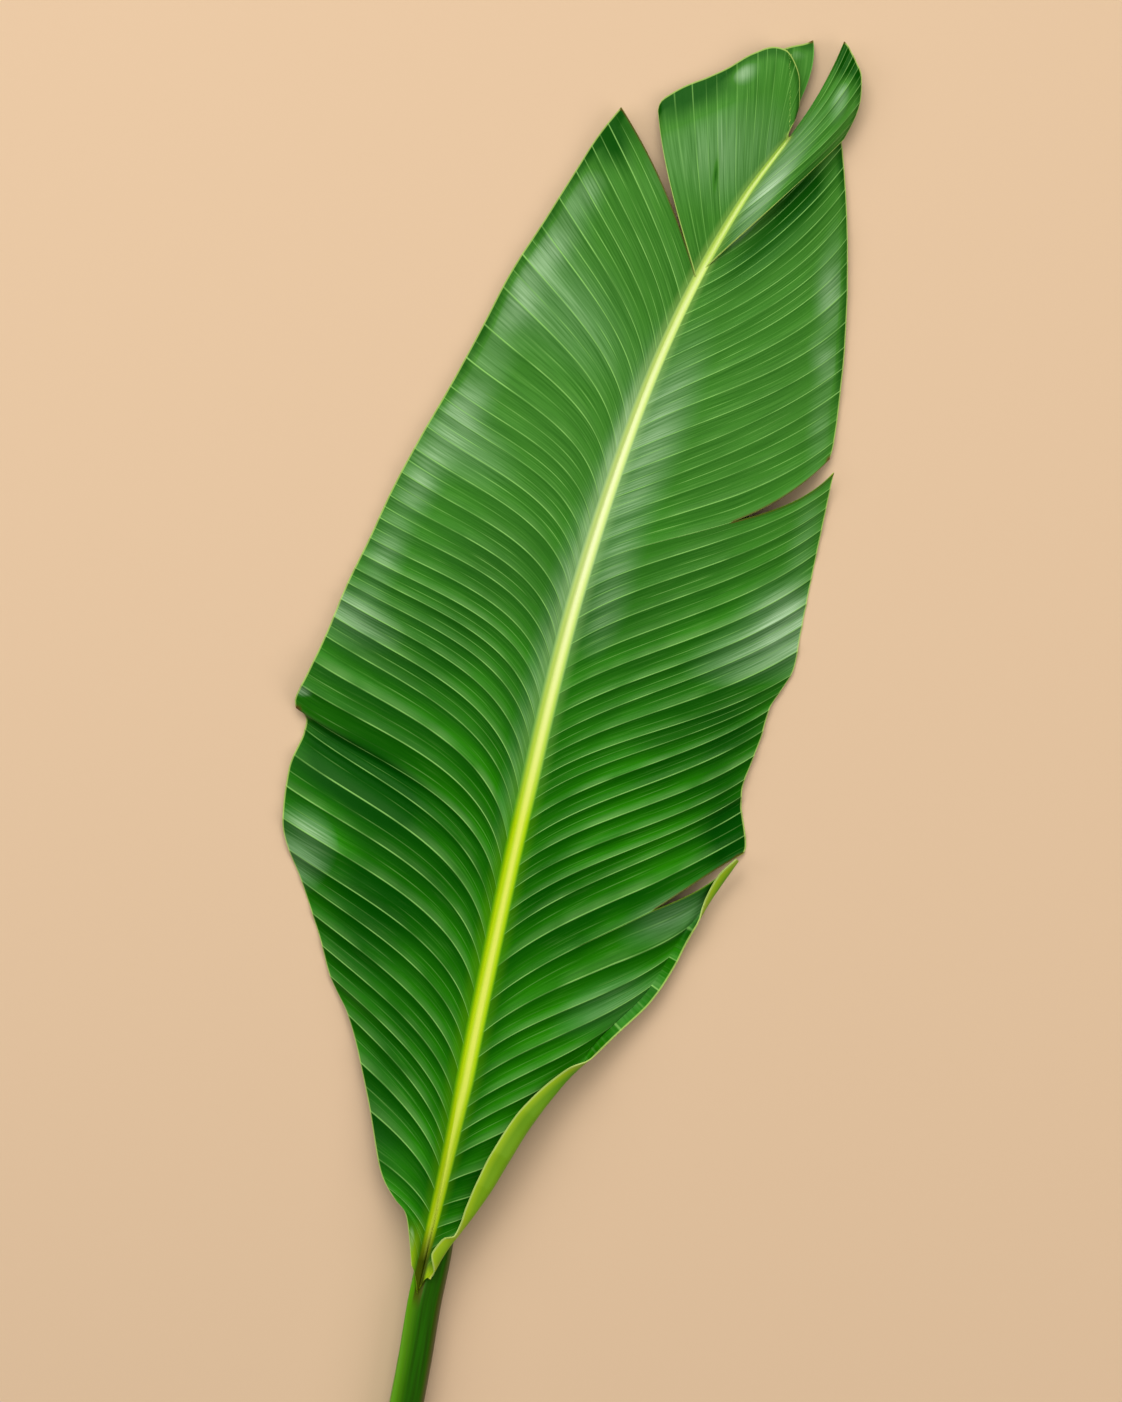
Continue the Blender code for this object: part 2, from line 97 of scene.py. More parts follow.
# A low crease runs along the middle of each pleat, and pleats differ in height by up to this share.
CREASE_HEIGHT = 0.05
CREASE_HALF_WIDTH = 0.13
UNEVEN_PLEATS = 0.22
# The blade swells and dips over this many pleats, from this part of each vein on.
SWELL_PLEATS = 2.7
SWELL_FROM = (0.05, 0.4)
RIPPLE_CELLS = 64
SEEDS = {"swell": 11, "broad_swell": 12, "pleats": 13, "haze": 14, "deeper": 15}

# Rows of points across one pleat, closer beside the vein, and points along each vein, closer at the margin
PLEAT_ROWS = (0.0, 0.035, 0.09, 0.17, 0.27, 0.38, 0.5, 0.62, 0.73, 0.83, 0.91, 0.965)
VEIN_POINTS = 64
CLOSER_AT_MARGIN = 1.15
ROLL_POINTS = 14
VEIN_SAMPLES = 48
PITCH_SAMPLES = 400
WELD_DISTANCE = 0.002
FAR_AWAY = 99.0

# What each point of the blade tells its materials: its place counted in veins, its way along the vein, its
# place across the midrib's band, its distance from the margin, how dry it is, how far along the leaf it is,
# how much painted sheen (above zero) or painted shade (below zero) it has, and how strongly it is pleated
VALUES = ("vein_count", "vein_run", "band_place", "edge_distance", "dryness", "rib_along", "painted_sheen_and_shade", "folded")

# The midrib's line in plan, (along, across), and the height of its upper face, (along, height)
RIB_LINE = (
    (0, 0), (50, 11.5), (150, 32), (250, 54), (350, 80), (450, 113.5), (500, 135.5), (550, 163.7),
    (581, 186.5),
)
RIB_TOP = (
    (-262, 19.0), (-60, 17.6), (0, 17.0), (60, 17.8), (150, 18.6), (250, 18.4), (350, 16.4), (450, 12.8),
    (520, 9.4), (581, 6.4),
)

# How the side veins sweep out, by the place in their lobe's table: (along, how much further along they leave
# the midrib, the angle there in degrees, and how far the curve keeps to its first and to its last way, as
# parts of its length)
LEFT_SWEEP = (
    (0, 0, 26, 0.22, 0.40), (60, -8, 14, 0.30, 0.35), (100, -12, 11, 0.32, 0.35), (150, -9, 10, 0.36, 0.35),
    (200, -7, 9, 0.42, 0.34), (265, -6, 10, 0.42, 0.36), (330, -14, 10, 0.42, 0.35),
    (412, -16, 10, 0.41, 0.36), (450, -10, 13, 0.32, 0.38), (480, -6, 24, 0.28, 0.40),
    (509, 0, 42, 0.20, 0.42), (581, 0, 36, 0.20, 0.42),
)
RIGHT_SWEEP = (
    (8, 0, 30, 0.22, 0.40), (60, 0, 36, 0.30, 0.36), (98, 0, 38, 0.32, 0.36), (125, 0, 34, 0.34, 0.34),
    (141.5, 4, 34, 0.33, 0.34), (166, 14, 35, 0.33, 0.35), (219, 13, 36, 0.31, 0.36),
    (282, 7, 42, 0.29, 0.36), (320, 9, 40, 0.30, 0.37), (351.5, 14, 42, 0.27, 0.35),
    (387, 13, 50, 0.29, 0.36), (433, 12, 40, 0.33, 0.36), (475, 11, 42, 0.30, 0.36),
    (515, 15, 36, 0.26, 0.35),
)
RIGHT_TIP_SWEEP = ((514, 0, 18, 0.20, 0.42), (581, 0, 14, 0.20, 0.42))

# Where a side vein leaves the midrib (along), where it meets the margin (across, along, height), and the way
# it heads there, in degrees outwards from straight along
LEFT_MAIN = (
    (6, -1.8, 20, 18.6, 28), (12, -2.8, 33, 18.4, 32), (20, -4.6, 45, 17.2, 44), (29, -10.5, 53, 15.0, 56),
    (40, -16.6, 64, 12.0, 58), (60, -24.0, 103, 8.0, 52), (80.5, -34.0, 144, 4.5, 48),
    (87, -40.0, 156.5, 3.6, 49), (94, -43.6, 165, 3.0, 50), (104.5, -47, 178.5, 2.0, 51),
    (125.5, -56, 207, 0.9, 54), (150.5, -66.5, 240, 3.4, 57), (170, -63.5, 266, 3.6, 55),
    (186, -55.8, 285, 1.0, 52), (196.5, -54.8, 291.2, 0.6, 54), (199.5, -56.3, 294.6, 2.6, 54),
    (201.5, -59.6, 296.6, 4.4, 55), (205, -60.2, 300.4, 6.4, 55), (209.5, -57.8, 306.5, 8.4, 56),
    (213, -56.2, 309.5, 9.0, 57), (235.5, -45, 333, 5.0, 57), (270.5, -34.2, 359, 3.6, 60),
    (305.5, -23.4, 381, 2.8, 60), (333, -12, 405.5, 3.4, 56), (360.5, 2.6, 432.5, 4.0, 53),
    (390.5, 17.4, 458, 3.6, 51), (412, 32.6, 486, 3.0, 47), (430, 47, 513.5, 3.4, 42),
    (452, 64.5, 540.5, 4.4, 34), (472, 79, 563.5, 5.4, 28), (490, 91, 582, 6.6, 25), (502, 99, 592, 7.6, 28),
    (509, 102.5, 596, 8.4, 32),
)
LEFT_UPPER = (
    (509, 121, 594.5, 5.0, 4), (510, 121.7, 597.8, 4.8, 4), (511.2, 123.0, 600.0, 4.7, 4),
    (513.2, 126.0, 602.2, 4.6, 4), (518, 134, 606.8, 4.4, 3), (528, 146, 611.5, 4.6, 1),
    (540, 156, 616, 5.2, 0), (553, 168.5, 623, 7.4, 0), (563, 178.5, 626, 8.4, -2),
    (568.5, 184.5, 624.5, 8.6, -8), (572, 189, 618, 8.8, -16), (575, 191.3, 609, 9.0, -22),
    (577.5, 191.3, 598, 8.6, -24), (579, 189.5, 591, 8.0, -20),
)
LEFT_TIP = (
    (572, 180, 624.5, 3.6, -2), (576, 188, 627, 3.4, -4), (579, 195, 628.5, 3.2, 2),
    (580.5, 198.5, 630, 3.4, 8),
)
# The lower right lobe also has its rolled margin: the width of the strip that turns over, and how far it
# turns, in degrees.
RIGHT_LOWER = (
    (8, 7.8, 13.0, 18.6, 58, 1.8, 10), (12, 10.4, 18.0, 19.4, 58, 5.5, 110),
    (17, 13.8, 24.2, 19.6, 58, 10.5, 155), (22, 18, 30.4, 18.8, 57, 10.0, 150),
    (26, 21, 34, 17.4, 56, 7, 115), (31, 25, 39, 16.4, 55, 8, 130), (38, 30, 45.6, 16.4, 54, 10.5, 155),
    (48, 38.2, 57.4, 16.6, 54, 14.5, 165), (58, 46.4, 71, 16.6, 54, 16.5, 165),
    (68, 57, 88, 16.2, 54, 16, 165), (75.5, 68, 102.5, 15.2, 55, 13, 160),
    (82, 78.5, 114.5, 13.2, 56, 9, 140), (88, 89.5, 124, 11.4, 56, 6.5, 70),
    (94, 102, 135.4, 9.8, 54, 5, 20), (102, 117, 149.5, 8.0, 54, 5, 10), (115, 129, 167, 6.2, 54, 5, 10),
    (128, 136.4, 181.5, 5.4, 54, 5, 40), (134, 146.2, 199, 5.8, 52, 7, 130),
    (138, 154, 210.5, 6.6, 46, 8, 150), (141.5, 161, 220.4, 7.4, 38, 6, 120),
)
RIGHT_MIDDLE = (
    (141.5, 164, 224, 1.6, 63), (148, 165, 228, 0.6, 63), (156, 164.3, 236, 0.9, 60),
    (168, 162.6, 247.5, 2.2, 58), (182, 163, 256, 3.2, 57), (196, 167.5, 269, 3.2, 57),
    (208, 172.5, 282, 2.6, 57), (224, 176.8, 296.5, 2.0, 57), (240, 184.5, 308.5, 1.4, 58),
    (250, 188.8, 316, 0.9, 58), (264, 192, 332, 0.5, 58), (285, 196, 352.5, 0.5, 55),
    (304, 200.2, 373.5, 1.2, 53), (325, 204.5, 394, 2.4, 53), (344, 207.6, 409.5, 4.2, 48),
    (351.5, 208.6, 414, 5.4, 38),
)
RIGHT_UPPER = (
    (351.5, 206.5, 420.5, 3.0, 47), (358, 208, 425.5, 2.4, 50), (373, 210.3, 439, 2.2, 53),
    (390, 212.6, 459, 2.0, 52), (405, 214, 472.5, 2.2, 50), (419, 214.8, 486.5, 2.6, 47),
    (435, 215.6, 508, 3.2, 42), (450, 215.6, 525, 3.8, 38), (464, 215.4, 538.5, 3.8, 35),
    (480, 214.6, 556, 3.2, 36), (495, 213.6, 570, 2.4, 38), (507, 212.6, 580, 1.8, 39),
    (515, 211, 586.5, 1.4, 39),
)
RIGHT_TIP = (
    (514, 213.4, 580, 8.0, 44), (522, 217, 586.8, 8.8, 42), (531, 220.2, 594, 9.4, 38),
    (541, 222, 602, 9.8, 34), (552, 222.2, 611, 10.0, 30), (562, 219.6, 618.5, 9.6, 26),
    (570, 217, 623.8, 8.8, 24), (576, 215, 627.3, 8.0, 22), (580.5, 213.6, 628.8, 7.2, 21),
)
# A tear between two lobes: the vein it follows (along the midrib) and the part of that vein still whole
LOWER_TEAR = (141.5, 0.66)
UPPER_TEAR = (351.5, 0.57)
# How many pleats beside a tear are drawn in to the vein that both lobes share
TEAR_REACH = 1.5
# The blade is brown beside a tear, up to these distances from it.
TEAR_BROWN = (0.15, 0.8)
# The tip lobes slide over their neighbours: name, table, sweep, side, how much higher or lower each runs in
# mid vein, the share of its pleats' height, and which of its rows, first or last, are a pale rim
TIP_LOBES = (
    ("lobe_left_upper", LEFT_UPPER, LEFT_SWEEP, -1, 2.2, 0.35, (0, -1)),
    ("lobe_left_tip", LEFT_TIP, LEFT_SWEEP, -1, -1.6, 0.35, ()),
    ("lobe_right_tip", RIGHT_TIP, RIGHT_TIP_SWEEP, 1, 3.4, 2.6, (0,)),
)
# Their veins are counted on from here, so that their tones differ from the other lobes'.
TIP_FIRST_COUNT = 60
# The upper right lobe dips under the tip lobe, from this place along.
RIGHT_UPPER_DIP = 2.0
RIGHT_UPPER_DIP_FROM = 470.0

# Painted sheen and glints where the strength is above zero, and painted shade, a deeper green, where it is
# below zero: (across, along, reach across, reach along, turn in degrees, strength)
PAINTED_SHEEN_AND_SHADE = (
    (-36, 346, 30, 10, -30, 0.9), (-54, 228, 15, 20, -15, 1.0), (20, 432, 30, 14, -40, 0.5),
    (72, 500, 40, 22, -50, 0.4), (74, 348, 8, 50, -15, 0.5), (103, 430, 5, 45, -20, 1.0),
    (116, 424, 11, 50, -22, 0.9), (51, 268, 6, 60, -13, 0.3), (96, 350, 9, 30, -16, 0.5),
    (186, 338, 15, 15, 25, 1.6), (166, 322, 26, 14, 25, 0.8), (128, 194, 20, 8, 25, 0.7),
    (206, 505, 6, 14, 0, 0.5), (204, 470, 6, 10, 20, 0.4), (96, 150, 24, 10, 25, 0.4),
    (-57, 305.3, 4, 1.8, -20, 3.0), (174, 551, 5, 32, -34, 1.5), (212, 601, 3, 9, -20, 1.5),
    (150, 575, 34, 24, 0, 0.45), (164, 613, 6, 4, 40, 2.0), (190, 624, 4, 3, 0, 0.8),
    (-1.6, 33, 1.2, 5, 0, 1.4), (-28, 262, 40, 19, -36, -1.6), (162, 236, 20, 18, 20, -1.6),
    (-20, 190, 30, 50, 0, -0.5), (150, 290, 30, 20, 25, -0.5), (70, 240, 16, 70, -14, -0.4),
    (10, 320, 22, 60, -20, -0.3), (138, 602, 26, 9, 27, -1.2), (99, 579, 10, 14, 0, -1.5),
    (215, 617, 7, 12, 10, -1.3), (149.5, 562, 0.8, 6, -5, -1.2), (14, 60, 10, 40, -14, -0.6),
    (32, 130, 10, 50, -12, -0.5), (168, 524, 28, 11, 34, -0.8), (194, 553, 22, 9, 45, -1.3),
)
# A painted pale sheen follows the margin of the blade's upper half: it begins between these places along,
# lies so far inside the margin and has this reach, and its strength differs between the leaf's two sides.
MARGIN_SHEEN_ALONG = (320, 380)
MARGIN_SHEEN_INSIDE = 12
MARGIN_SHEEN_REACH = 9
MARGIN_SHEEN_LEFT, MARGIN_SHEEN_RIGHT = 0.85, 0.35
# Towards the tip the strip beside the margin is painted a deeper green, as painted shade.
MARGIN_SHADE_ALONG = (420, 480)
MARGIN_SHADE_STRIP = (1.5, 7.0)
# Tips that have dried: (across, along, reach)
DRY_TIPS = (
    (-59.5, 295.5, 3.4), (-56.5, 292.5, 2.2), (209.3, 414.6, 3.4), (206.8, 420.4, 2.6), (161.5, 221.0, 3.0),
    (0.0, 2.0, 2.0), (103.0, 595.4, 1.6), (197.5, 629.5, 1.6), (213.6, 628.6, 1.6),
)

# The stalk and midrib: (along, across, width, depth, how far the channel's band lies left of the axis)
STALK = (
    (-262, -40.5, 20.4, 19.4, 0.5), (-230, -35.5, 19.4, 19.2, 1.0), (-180, -27.3, 18.4, 18.8, 1.6),
    (-120, -17.0, 17.8, 18.4, 2.4), (-60, -6.4, 17.2, 17.9, 3.4), (-25, 0.2, 16.8, 17.5, 3.8),
    (0, 4.4, 16.8, 17.1, 4.0), (25, 9.6, 16.8, 16.6, 3.1), (50, 13.6, 15.8, 15.8, 2.1),
    (80, 18.0, 14.2, 14.4, 1.0), (115, 24.8, 12.6, 13.0, 0.0), (150, 32.0, 11.6, 12.0, 0.0),
    (200, 43.0, 10.8, 11.0, 0.0), (250, 54.0, 10.2, 10.2, 0.0), (300, 66.4, 9.6, 9.4, 0.0),
    (350, 80.0, 9.0, 8.6, 0.0), (400, 95.6, 8.2, 7.8, 0.0), (450, 113.5, 7.2, 6.8, 0.0),
    (490, 130.7, 6.2, 5.8, 0.0), (525, 149.0, 5.2, 4.8, 0.0), (555, 166.9, 4.2, 3.8, 0.0),
    (581, 186.5, 3.0, 2.6, 0.0),
)
# The band's greatest share of the midrib's width, and the channel along it, which begins at the foot of the
# blade. Below that the stalk's upper side swells instead.
BAND_SHARE = 0.8
CHANNEL_DEPTH = 0.9
CHANNEL_FROM = (-14.0, 8.0)
STALK_SWELL = 0.8
# From the band's edge down: the part of the way out to the stalk's side, and the part of its depth
STALK_OUTLINE = ((0.62, 0.09), (0.93, 0.27), (1.0, 0.50), (0.86, 0.74), (0.56, 0.92), (0.26, 1.0))
WIDEST_DOWN = 0.50
STALK_RING_STEP = 3.0
STALK_STEPS_BETWEEN = 4
END_BEVEL = 0.8
STALK_END_RADIUS = 9.0

# Fine lines across one pleat, on the upper face and the underside, and fibres around the stalk
THREADS_ABOVE = 15.0
THREADS_BELOW = 9.0
FIBRES_AROUND = 40.0
# The margin line fades between these parts of its width.
LINE_FADE = (0.7, 1.3)
LEAF_IOR = 1.45
# Edges flatter than this are shaded smooth.
BLADE_SMOOTH_DEGREES = 60
STALK_SMOOTH_DEGREES = 50

# The camera looks straight down on the leaf. Its frame takes in this much of the plan.
FRAME_WIDTH = 561.0
FRAME_MIDDLE = (72.5, 300.0)
CAMERA_HEIGHT = 2600.0
SENSOR_WIDTH = 36.0
CLIP_END = 20.0
FLOOR_SIZE = 6.0
ROOM_COLOUR = (0.9, 0.95, 1.0, 1.0)
ROOM_STRENGTH = 0.03
# Soft boxes: name, direction in plan and height in degrees, distance and size in metres, watts, colour, and
# whether the leaf's wax mirrors it
SOFT_BOXES = (
    ("tip_light", 98, 46, 2.5, (2.2, 1.3), 40, (1.0, 0.99, 0.97), True),
    ("left_light", 180, 40, 1.9, (1.0, 1.5), 11, (0.97, 0.99, 1.0), True),
    ("overhead_light", 90, 86, 2.4, (2.2, 2.2), 20, (1.0, 0.99, 0.98), False),
    ("right_fill", -20, 42, 2.2, (1.6, 1.6), 18, (1.0, 0.99, 0.97), False),
)


def linear(hex_colour):
    """An sRGB colour such as "#205a1e" as linear red, green, blue and alpha."""
    parts = [int(hex_colour[i:i + 2], 16) / 255 for i in (1, 3, 5)]
    return tuple(c / 12.92 if c <= 0.04045 else ((c + 0.055) / 1.055) ** 2.4 for c in parts) + (1.0,)


def length_property(name, description, metres):
    """A length of the leaf's fine form, kept in metres."""
    return FloatProperty(name=name, description=description, default=metres, min=0.0, unit="LENGTH")


def colour_property(name, description, hex_colour):
    """A colour that is given as sRGB and kept as linear."""
    return FloatVectorProperty(
        name=name, description=description, default=linear(hex_colour), min=0.0, max=1.0, size=4,
        subtype="COLOR")


class LeafSizes(PropertyGroup):
    """Sizes of the leaf's fine form."""

    blade_thickness: length_property("Blade thickness", "How thick the blade is", 0.0006)
    pleat_height: length_property("Pleat height", "From a trough to the vein on the next ridge", 0.0013)
    undulation: length_property("Undulation", "How far the blade swells and dips over a few pleats", 0.0007)
    vein_width: length_property("Vein width", "The pale line of a side vein", 0.0003)
    margin_width: length_property("Margin width", "The pale line along the blade's margin", 0.0007)


class LeafColours(PropertyGroup):
    """Colours of the leaf and the floor."""

    deep_green: colour_property("Deep green", "The upper face at its darkest", "#014300")
    fresh_green: colour_property("Fresh green", "The upper face between the veins", "#247c00")
    # Partly the leaf's own colour towards the tip and partly painted sheen
    upper_green_and_sheen: colour_property("Upper green", "The upper face towards the tip", "#45802c")
    vein_green: colour_property("Vein green", "The pale line of a side vein", "#94ce68")
    # Painted highlight beside each side vein
    lit_green: colour_property("Lit green", "The haze beside each side vein", "#7cac60")
    # Painted sheen: the pale colour laid over the green where the leaf shines
    painted_sheen_pale: colour_property("Pale wax", "The thick wax that hazes the green", "#c4e0b8")
    rib_green: colour_property("Rib green", "The midrib's flanks", "#b2d206")
    # Also the painted light on the stalk's left side
    flank_green_and_stalk_light: colour_property("Flank green", "The blade close beside the midrib", "#62a402")
    rib_cream: colour_property("Rib cream", "The strip along the middle of the midrib", "#dee45e")
    # Partly the midrib's own paler colour and partly painted sheen
    rib_pale_and_sheen: colour_property("Rib pale", "The midrib in the blade's upper half", "#f3fbd8")
    under_green: colour_property("Underside green", "The matt underside", "#62920a")
    roll_yellow: colour_property("Roll yellow", "The underside near the margin", "#a8c414")
    margin_green: colour_property("Margin green", "The thin line along the margin", "#b2cc66")
    # Painted shade in the channel at the foot of the blade
    channel_shade_olive: colour_property("Channel olive", "The channel at the foot of the blade", "#424e04")
    dry_brown: colour_property("Dry brown", "Dried edges of the tears", "#5c3d1c")
    stalk_green: colour_property("Stalk green", "The stalk", "#1c4600")
    stalk_red: colour_property("Stalk red", "The tinge on the stalk's side", "#4b3a10")
    floor: colour_property("Floor", "The plain floor", "#dcbc99")


def smooth_curve(points):
    """A function through the (place, value) points: a cubic whose slopes never overshoot them."""
    places, values = np.array(points, float).T
    steps = np.diff(places)
    rises = np.diff(values) / steps
    slopes = np.zeros(len(places))
    slopes[0], slopes[-1] = rises[0], rises[-1]
    for i in range(1, len(rises)):
        if rises[i - 1] * rises[i] > 0:
            first = 2 * steps[i] + steps[i - 1]
            second = steps[i] + 2 * steps[i - 1]
            slopes[i] = (first + second) / (first / rises[i - 1] + second / rises[i])

    def value_at(place):
        place = np.clip(place, places[0], places[-1])
        i = np.clip(np.searchsorted(places, place) - 1, 0, len(steps) - 1)
        u = (place - places[i]) / steps[i]
        whole = values[i] * (1 + 2 * u) * (1 - u) ** 2 + values[i + 1] * u * u * (3 - 2 * u)
        return whole + steps[i] * (slopes[i] * u * (1 - u) ** 2 + slopes[i + 1] * u * u * (u - 1))

    return value_at


def column_curves(stations):
    """One smooth curve for each column of a table, over its first column."""
    return [smooth_curve([(row[0], row[i]) for row in stations]) for i in range(1, len(stations[0]))]


def ease(value, start, end):
    """0 before start, 1 after end, and smooth between them."""
    u = np.clip((value - start) / (end - start), 0.0, 1.0)
    return u * u * (3 - 2 * u)


def ripple(x, y, seed):
    """Smooth random values between -1 and 1 over two directions, the same on every run."""
    table = np.random.default_rng(SEEDS[seed]).uniform(-1, 1, (RIPPLE_CELLS, RIPPLE_CELLS))
    i, j = np.floor(x).astype(int), np.floor(y).astype(int)
    u, v = ease(x - i, 0, 1), ease(y - j, 0, 1)
    i, j, next_i, next_j = [cell % RIPPLE_CELLS for cell in (i, j, i + 1, j + 1)]
    low = table[i, j] * (1 - u) + table[next_i, j] * u
    high = table[i, next_j] * (1 - u) + table[next_i, next_j] * u
    return low * (1 - v) + high * v


rib_across = smooth_curve(RIB_LINE)
rib_top = smooth_curve(RIB_TOP)
rib_width = smooth_curve([(row[0], row[2]) for row in STALK])


def unit(vectors):
    """The same directions with a length of one."""
    return vectors / np.linalg.norm(vectors, axis=-1, keepdims=True)


def line_direction(across_at, along, reach=4.0):
    """The plan direction in which a line runs, read this far before and after the place."""
    across_gain = across_at(along + reach) - across_at(along - reach)
    return unit(np.stack([across_gain, np.full_like(across_gain, 2 * reach)], -1))


def turned(direction, degrees):
    """Plan directions turned to the left by so many degrees."""
    c, s = np.cos(np.radians(degrees)), np.sin(np.radians(degrees))
    x, y = direction[..., 0], direction[..., 1]
    return np.stack([c * x - s * y, s * x + c * y], -1)


def pitch(along):
    """The distance between side veins on the midrib: they crowd towards the blade's two ends."""
    from_foot = FOOT_PITCH[0] + along / FOOT_PITCH[1]
    from_tip = TIP_PITCH[0] + (RIB_LINE[-1][0] - along) / TIP_PITCH[1]
    return PLEAT_PITCH * np.minimum(1.0, np.minimum(from_foot, from_tip))


def vein_places(start, end):
    """The vein count of each row of points, and where it leaves the midrib. Whole counts are veins."""
    places = np.linspace(start, end, PITCH_SAMPLES + 1)
    middles = (places[1:] + places[:-1]) / 2
    running = np.concatenate([[0.0], np.cumsum(np.diff(places) / pitch(middles))])
    pleats = max(1, round(running[-1]))
    counts = np.append(np.add.outer(np.arange(pleats), PLEAT_ROWS).ravel(), pleats)
    return counts, np.interp(counts * running[-1] / pleats, running, places), pleats


def roll_arc(strip, turn):
    """The angle and radius of the rolled strip's arc, and how far it reaches out past where it starts."""
    angle = np.radians(turn)
    radius = strip * ROLL_ARC_SHARE / angle
    open_reach = radius * np.sin(angle) + strip * (1 - ROLL_ARC_SHARE) * np.cos(angle)
    return angle, radius, np.where(angle >= math.pi / 2, radius, open_reach)


def outward_normal(curves, along, side):
    """The plan direction square to the margin, pointing out of the leaf."""
    before = np.stack([curves[0](along - MARGIN_STEP), curves[1](along - MARGIN_STEP)], -1)
    after = np.stack([curves[0](along + MARGIN_STEP), curves[1](along + MARGIN_STEP)], -1)
    return turned(unit(after - before), -90 * side)


def margin_ends(curves, along, side):
    """Where the flat part of each vein ends, and its heading there."""
    ends = np.stack([curve(along) for curve in curves[:3]], -1)
    if len(curves) > 4:
        _, _, reach = roll_arc(curves[4](along), curves[5](along))
        ends[..., :2] -= reach[..., None] * outward_normal(curves, along, side)
    return ends, curves[3](along)


def vein_plans(sweep, along, side, ends, headings, parts):
    """Plan points of the side veins, and their lengths: each leaves near the midrib's way and sweeps out."""
    further, leaves_at, first_reach, last_reach = [curve(along)[:, None] for curve in column_curves(sweep)]
    begin = along + further[:, 0]
    start = np.stack([rib_across(begin), begin], -1)
    target = ends[..., :2]
    length = np.linalg.norm(target - start, axis=-1)[:, None]
    leaving = turned(line_direction(rib_across, begin), -side * leaves_at[:, 0])
    arriving = turned(np.tile((0.0, 1.0), (len(along), 1)), -side * headings)
    first = start + leaving * length * first_reach
    last = target - arriving * length * last_reach
    u = np.linspace(0, 1, VEIN_SAMPLES + 1)[None, :, None]
    v = 1 - u
    walk = start[:, None] * v ** 3 + first[:, None] * 3 * u * v * v + last[:, None] * 3 * u * u * v
    walk = walk + target[:, None] * u ** 3
    run = np.cumsum(np.linalg.norm(np.diff(walk, axis=1), axis=-1), axis=1)
    run = np.concatenate([np.zeros((len(along), 1)), run], axis=1)
    points = np.empty((len(along), len(parts), 2))
    for row in range(len(along)):
        wanted = parts * run[row, -1]
        points[row, :, 0] = np.interp(wanted, run[row], walk[row, :, 0])
        points[row, :, 1] = np.interp(wanted, run[row], walk[row, :, 1])
    return points, run[:, -1]


def pleat_shape(counts):
    """1 on a vein's sharp ridge and -1 in the smooth trough, with a low crease along the trough's middle."""
    off_vein = np.abs(np.sin(math.pi * counts))
    crease = np.clip(1 - np.abs(counts - np.floor(counts) - 0.5) / CREASE_HALF_WIDTH, 0, 1)
    return 1 - 2 * off_vein + CREASE_HEIGHT * crease


def band_half(along):
    """Half the width of the midrib's band."""
    return np.minimum(BAND_HALF, rib_width(along) / 2 * BAND_SHARE)


def band_place(plans):
    """How far plan points lie right of the midrib's line, in half widths of its band."""
    x, y = plans[..., 0], plans[..., 1]
    beyond = np.maximum(y - RIB_LINE[-1][0], 0.0)
    off = (x - rib_across(y)) * line_direction(rib_across, y)[..., 1]
    return np.copysign(np.hypot(off, beyond), off) / band_half(y)


def vein_heights(sizes, sweep, along, counts, ends, plans, parts, lift, relief):
    """Heights along the side veins: risen beside the midrib, crowned, pleated, drooping to the margin."""
    top = rib_top(along + column_curves(sweep)[0](along))[:, None]
    length = np.hypot(ends[:, 0] - rib_across(along), ends[:, 1] - along)
    crown = (CROWN * np.minimum(1.0, length / CROWN_FULL_LENGTH) + lift)[:, None]
    heights = top + (ends[:, 2:3] - top) * parts ** DROOP_POWER + 4 * crown * parts * (1 - parts)
    heights += pleat_rise(sizes, along, counts)[:, None] * relief * ease(parts, *PLEATS_RISE)
    # Two ripples of different reach, each shifted to its own part of the pattern
    swell = ripple(counts[:, None] / SWELL_PLEATS + 5, parts * 3.1 + 2, "swell")
    swell = swell + 0.6 * ripple(counts[:, None] + 9, parts * 2 + 7, "broad_swell")
    heights += sizes.undulation / MM * swell * ease(parts, *SWELL_FROM) * ease(along, *FOOT_SMOOTH)[:, None]
    by_width = ease(along, *SUNK_BY_WIDTH)[:, None]
    beside = np.abs(band_place(plans))
    under_band = (BLADE_SUNK - BAND_EDGE_SUNK) * (1 - ease(beside, *RISES_UNDER_BAND))
    under_band = under_band + BAND_EDGE_SUNK * (1 - ease(beside, *RISES_BESIDE_BAND))
    sunk = BLADE_SUNK * (1 - ease(parts, 0.0, SUNK_UNTIL)) * (1 - by_width) + under_band * by_width
    return np.maximum(heights - sunk, GROUND_GAP)


def pleat_rise(sizes, along, counts):
    """How far each row stands above the blade's middle surface where its pleats have their full height."""
    uneven = 1 + UNEVEN_PLEATS * ripple(np.floor(counts + 0.5) * 1.7, np.zeros_like(counts), "pleats")
    return pleat_shape(counts) * uneven * 0.5 * sizes.pleat_height / MM * ease(along, *FOOT_SMOOTH)


def pleat_relief(plans, along, counts, folded):
    """The share of the pleats' full height at each point: less towards the tip and where veins run close."""
    to_next = np.gradient(plans, counts, axis=0)
    way = unit(np.gradient(plans, axis=1))
    spacing = np.abs(to_next[..., 0] * way[..., 1] - to_next[..., 1] * way[..., 0])
    flatter = 1 - FLATTER_BY * ease(along, *FLATTER_FROM)
    return folded * flatter[:, None] * np.minimum(spacing / FULL_SPACING, 1.0)


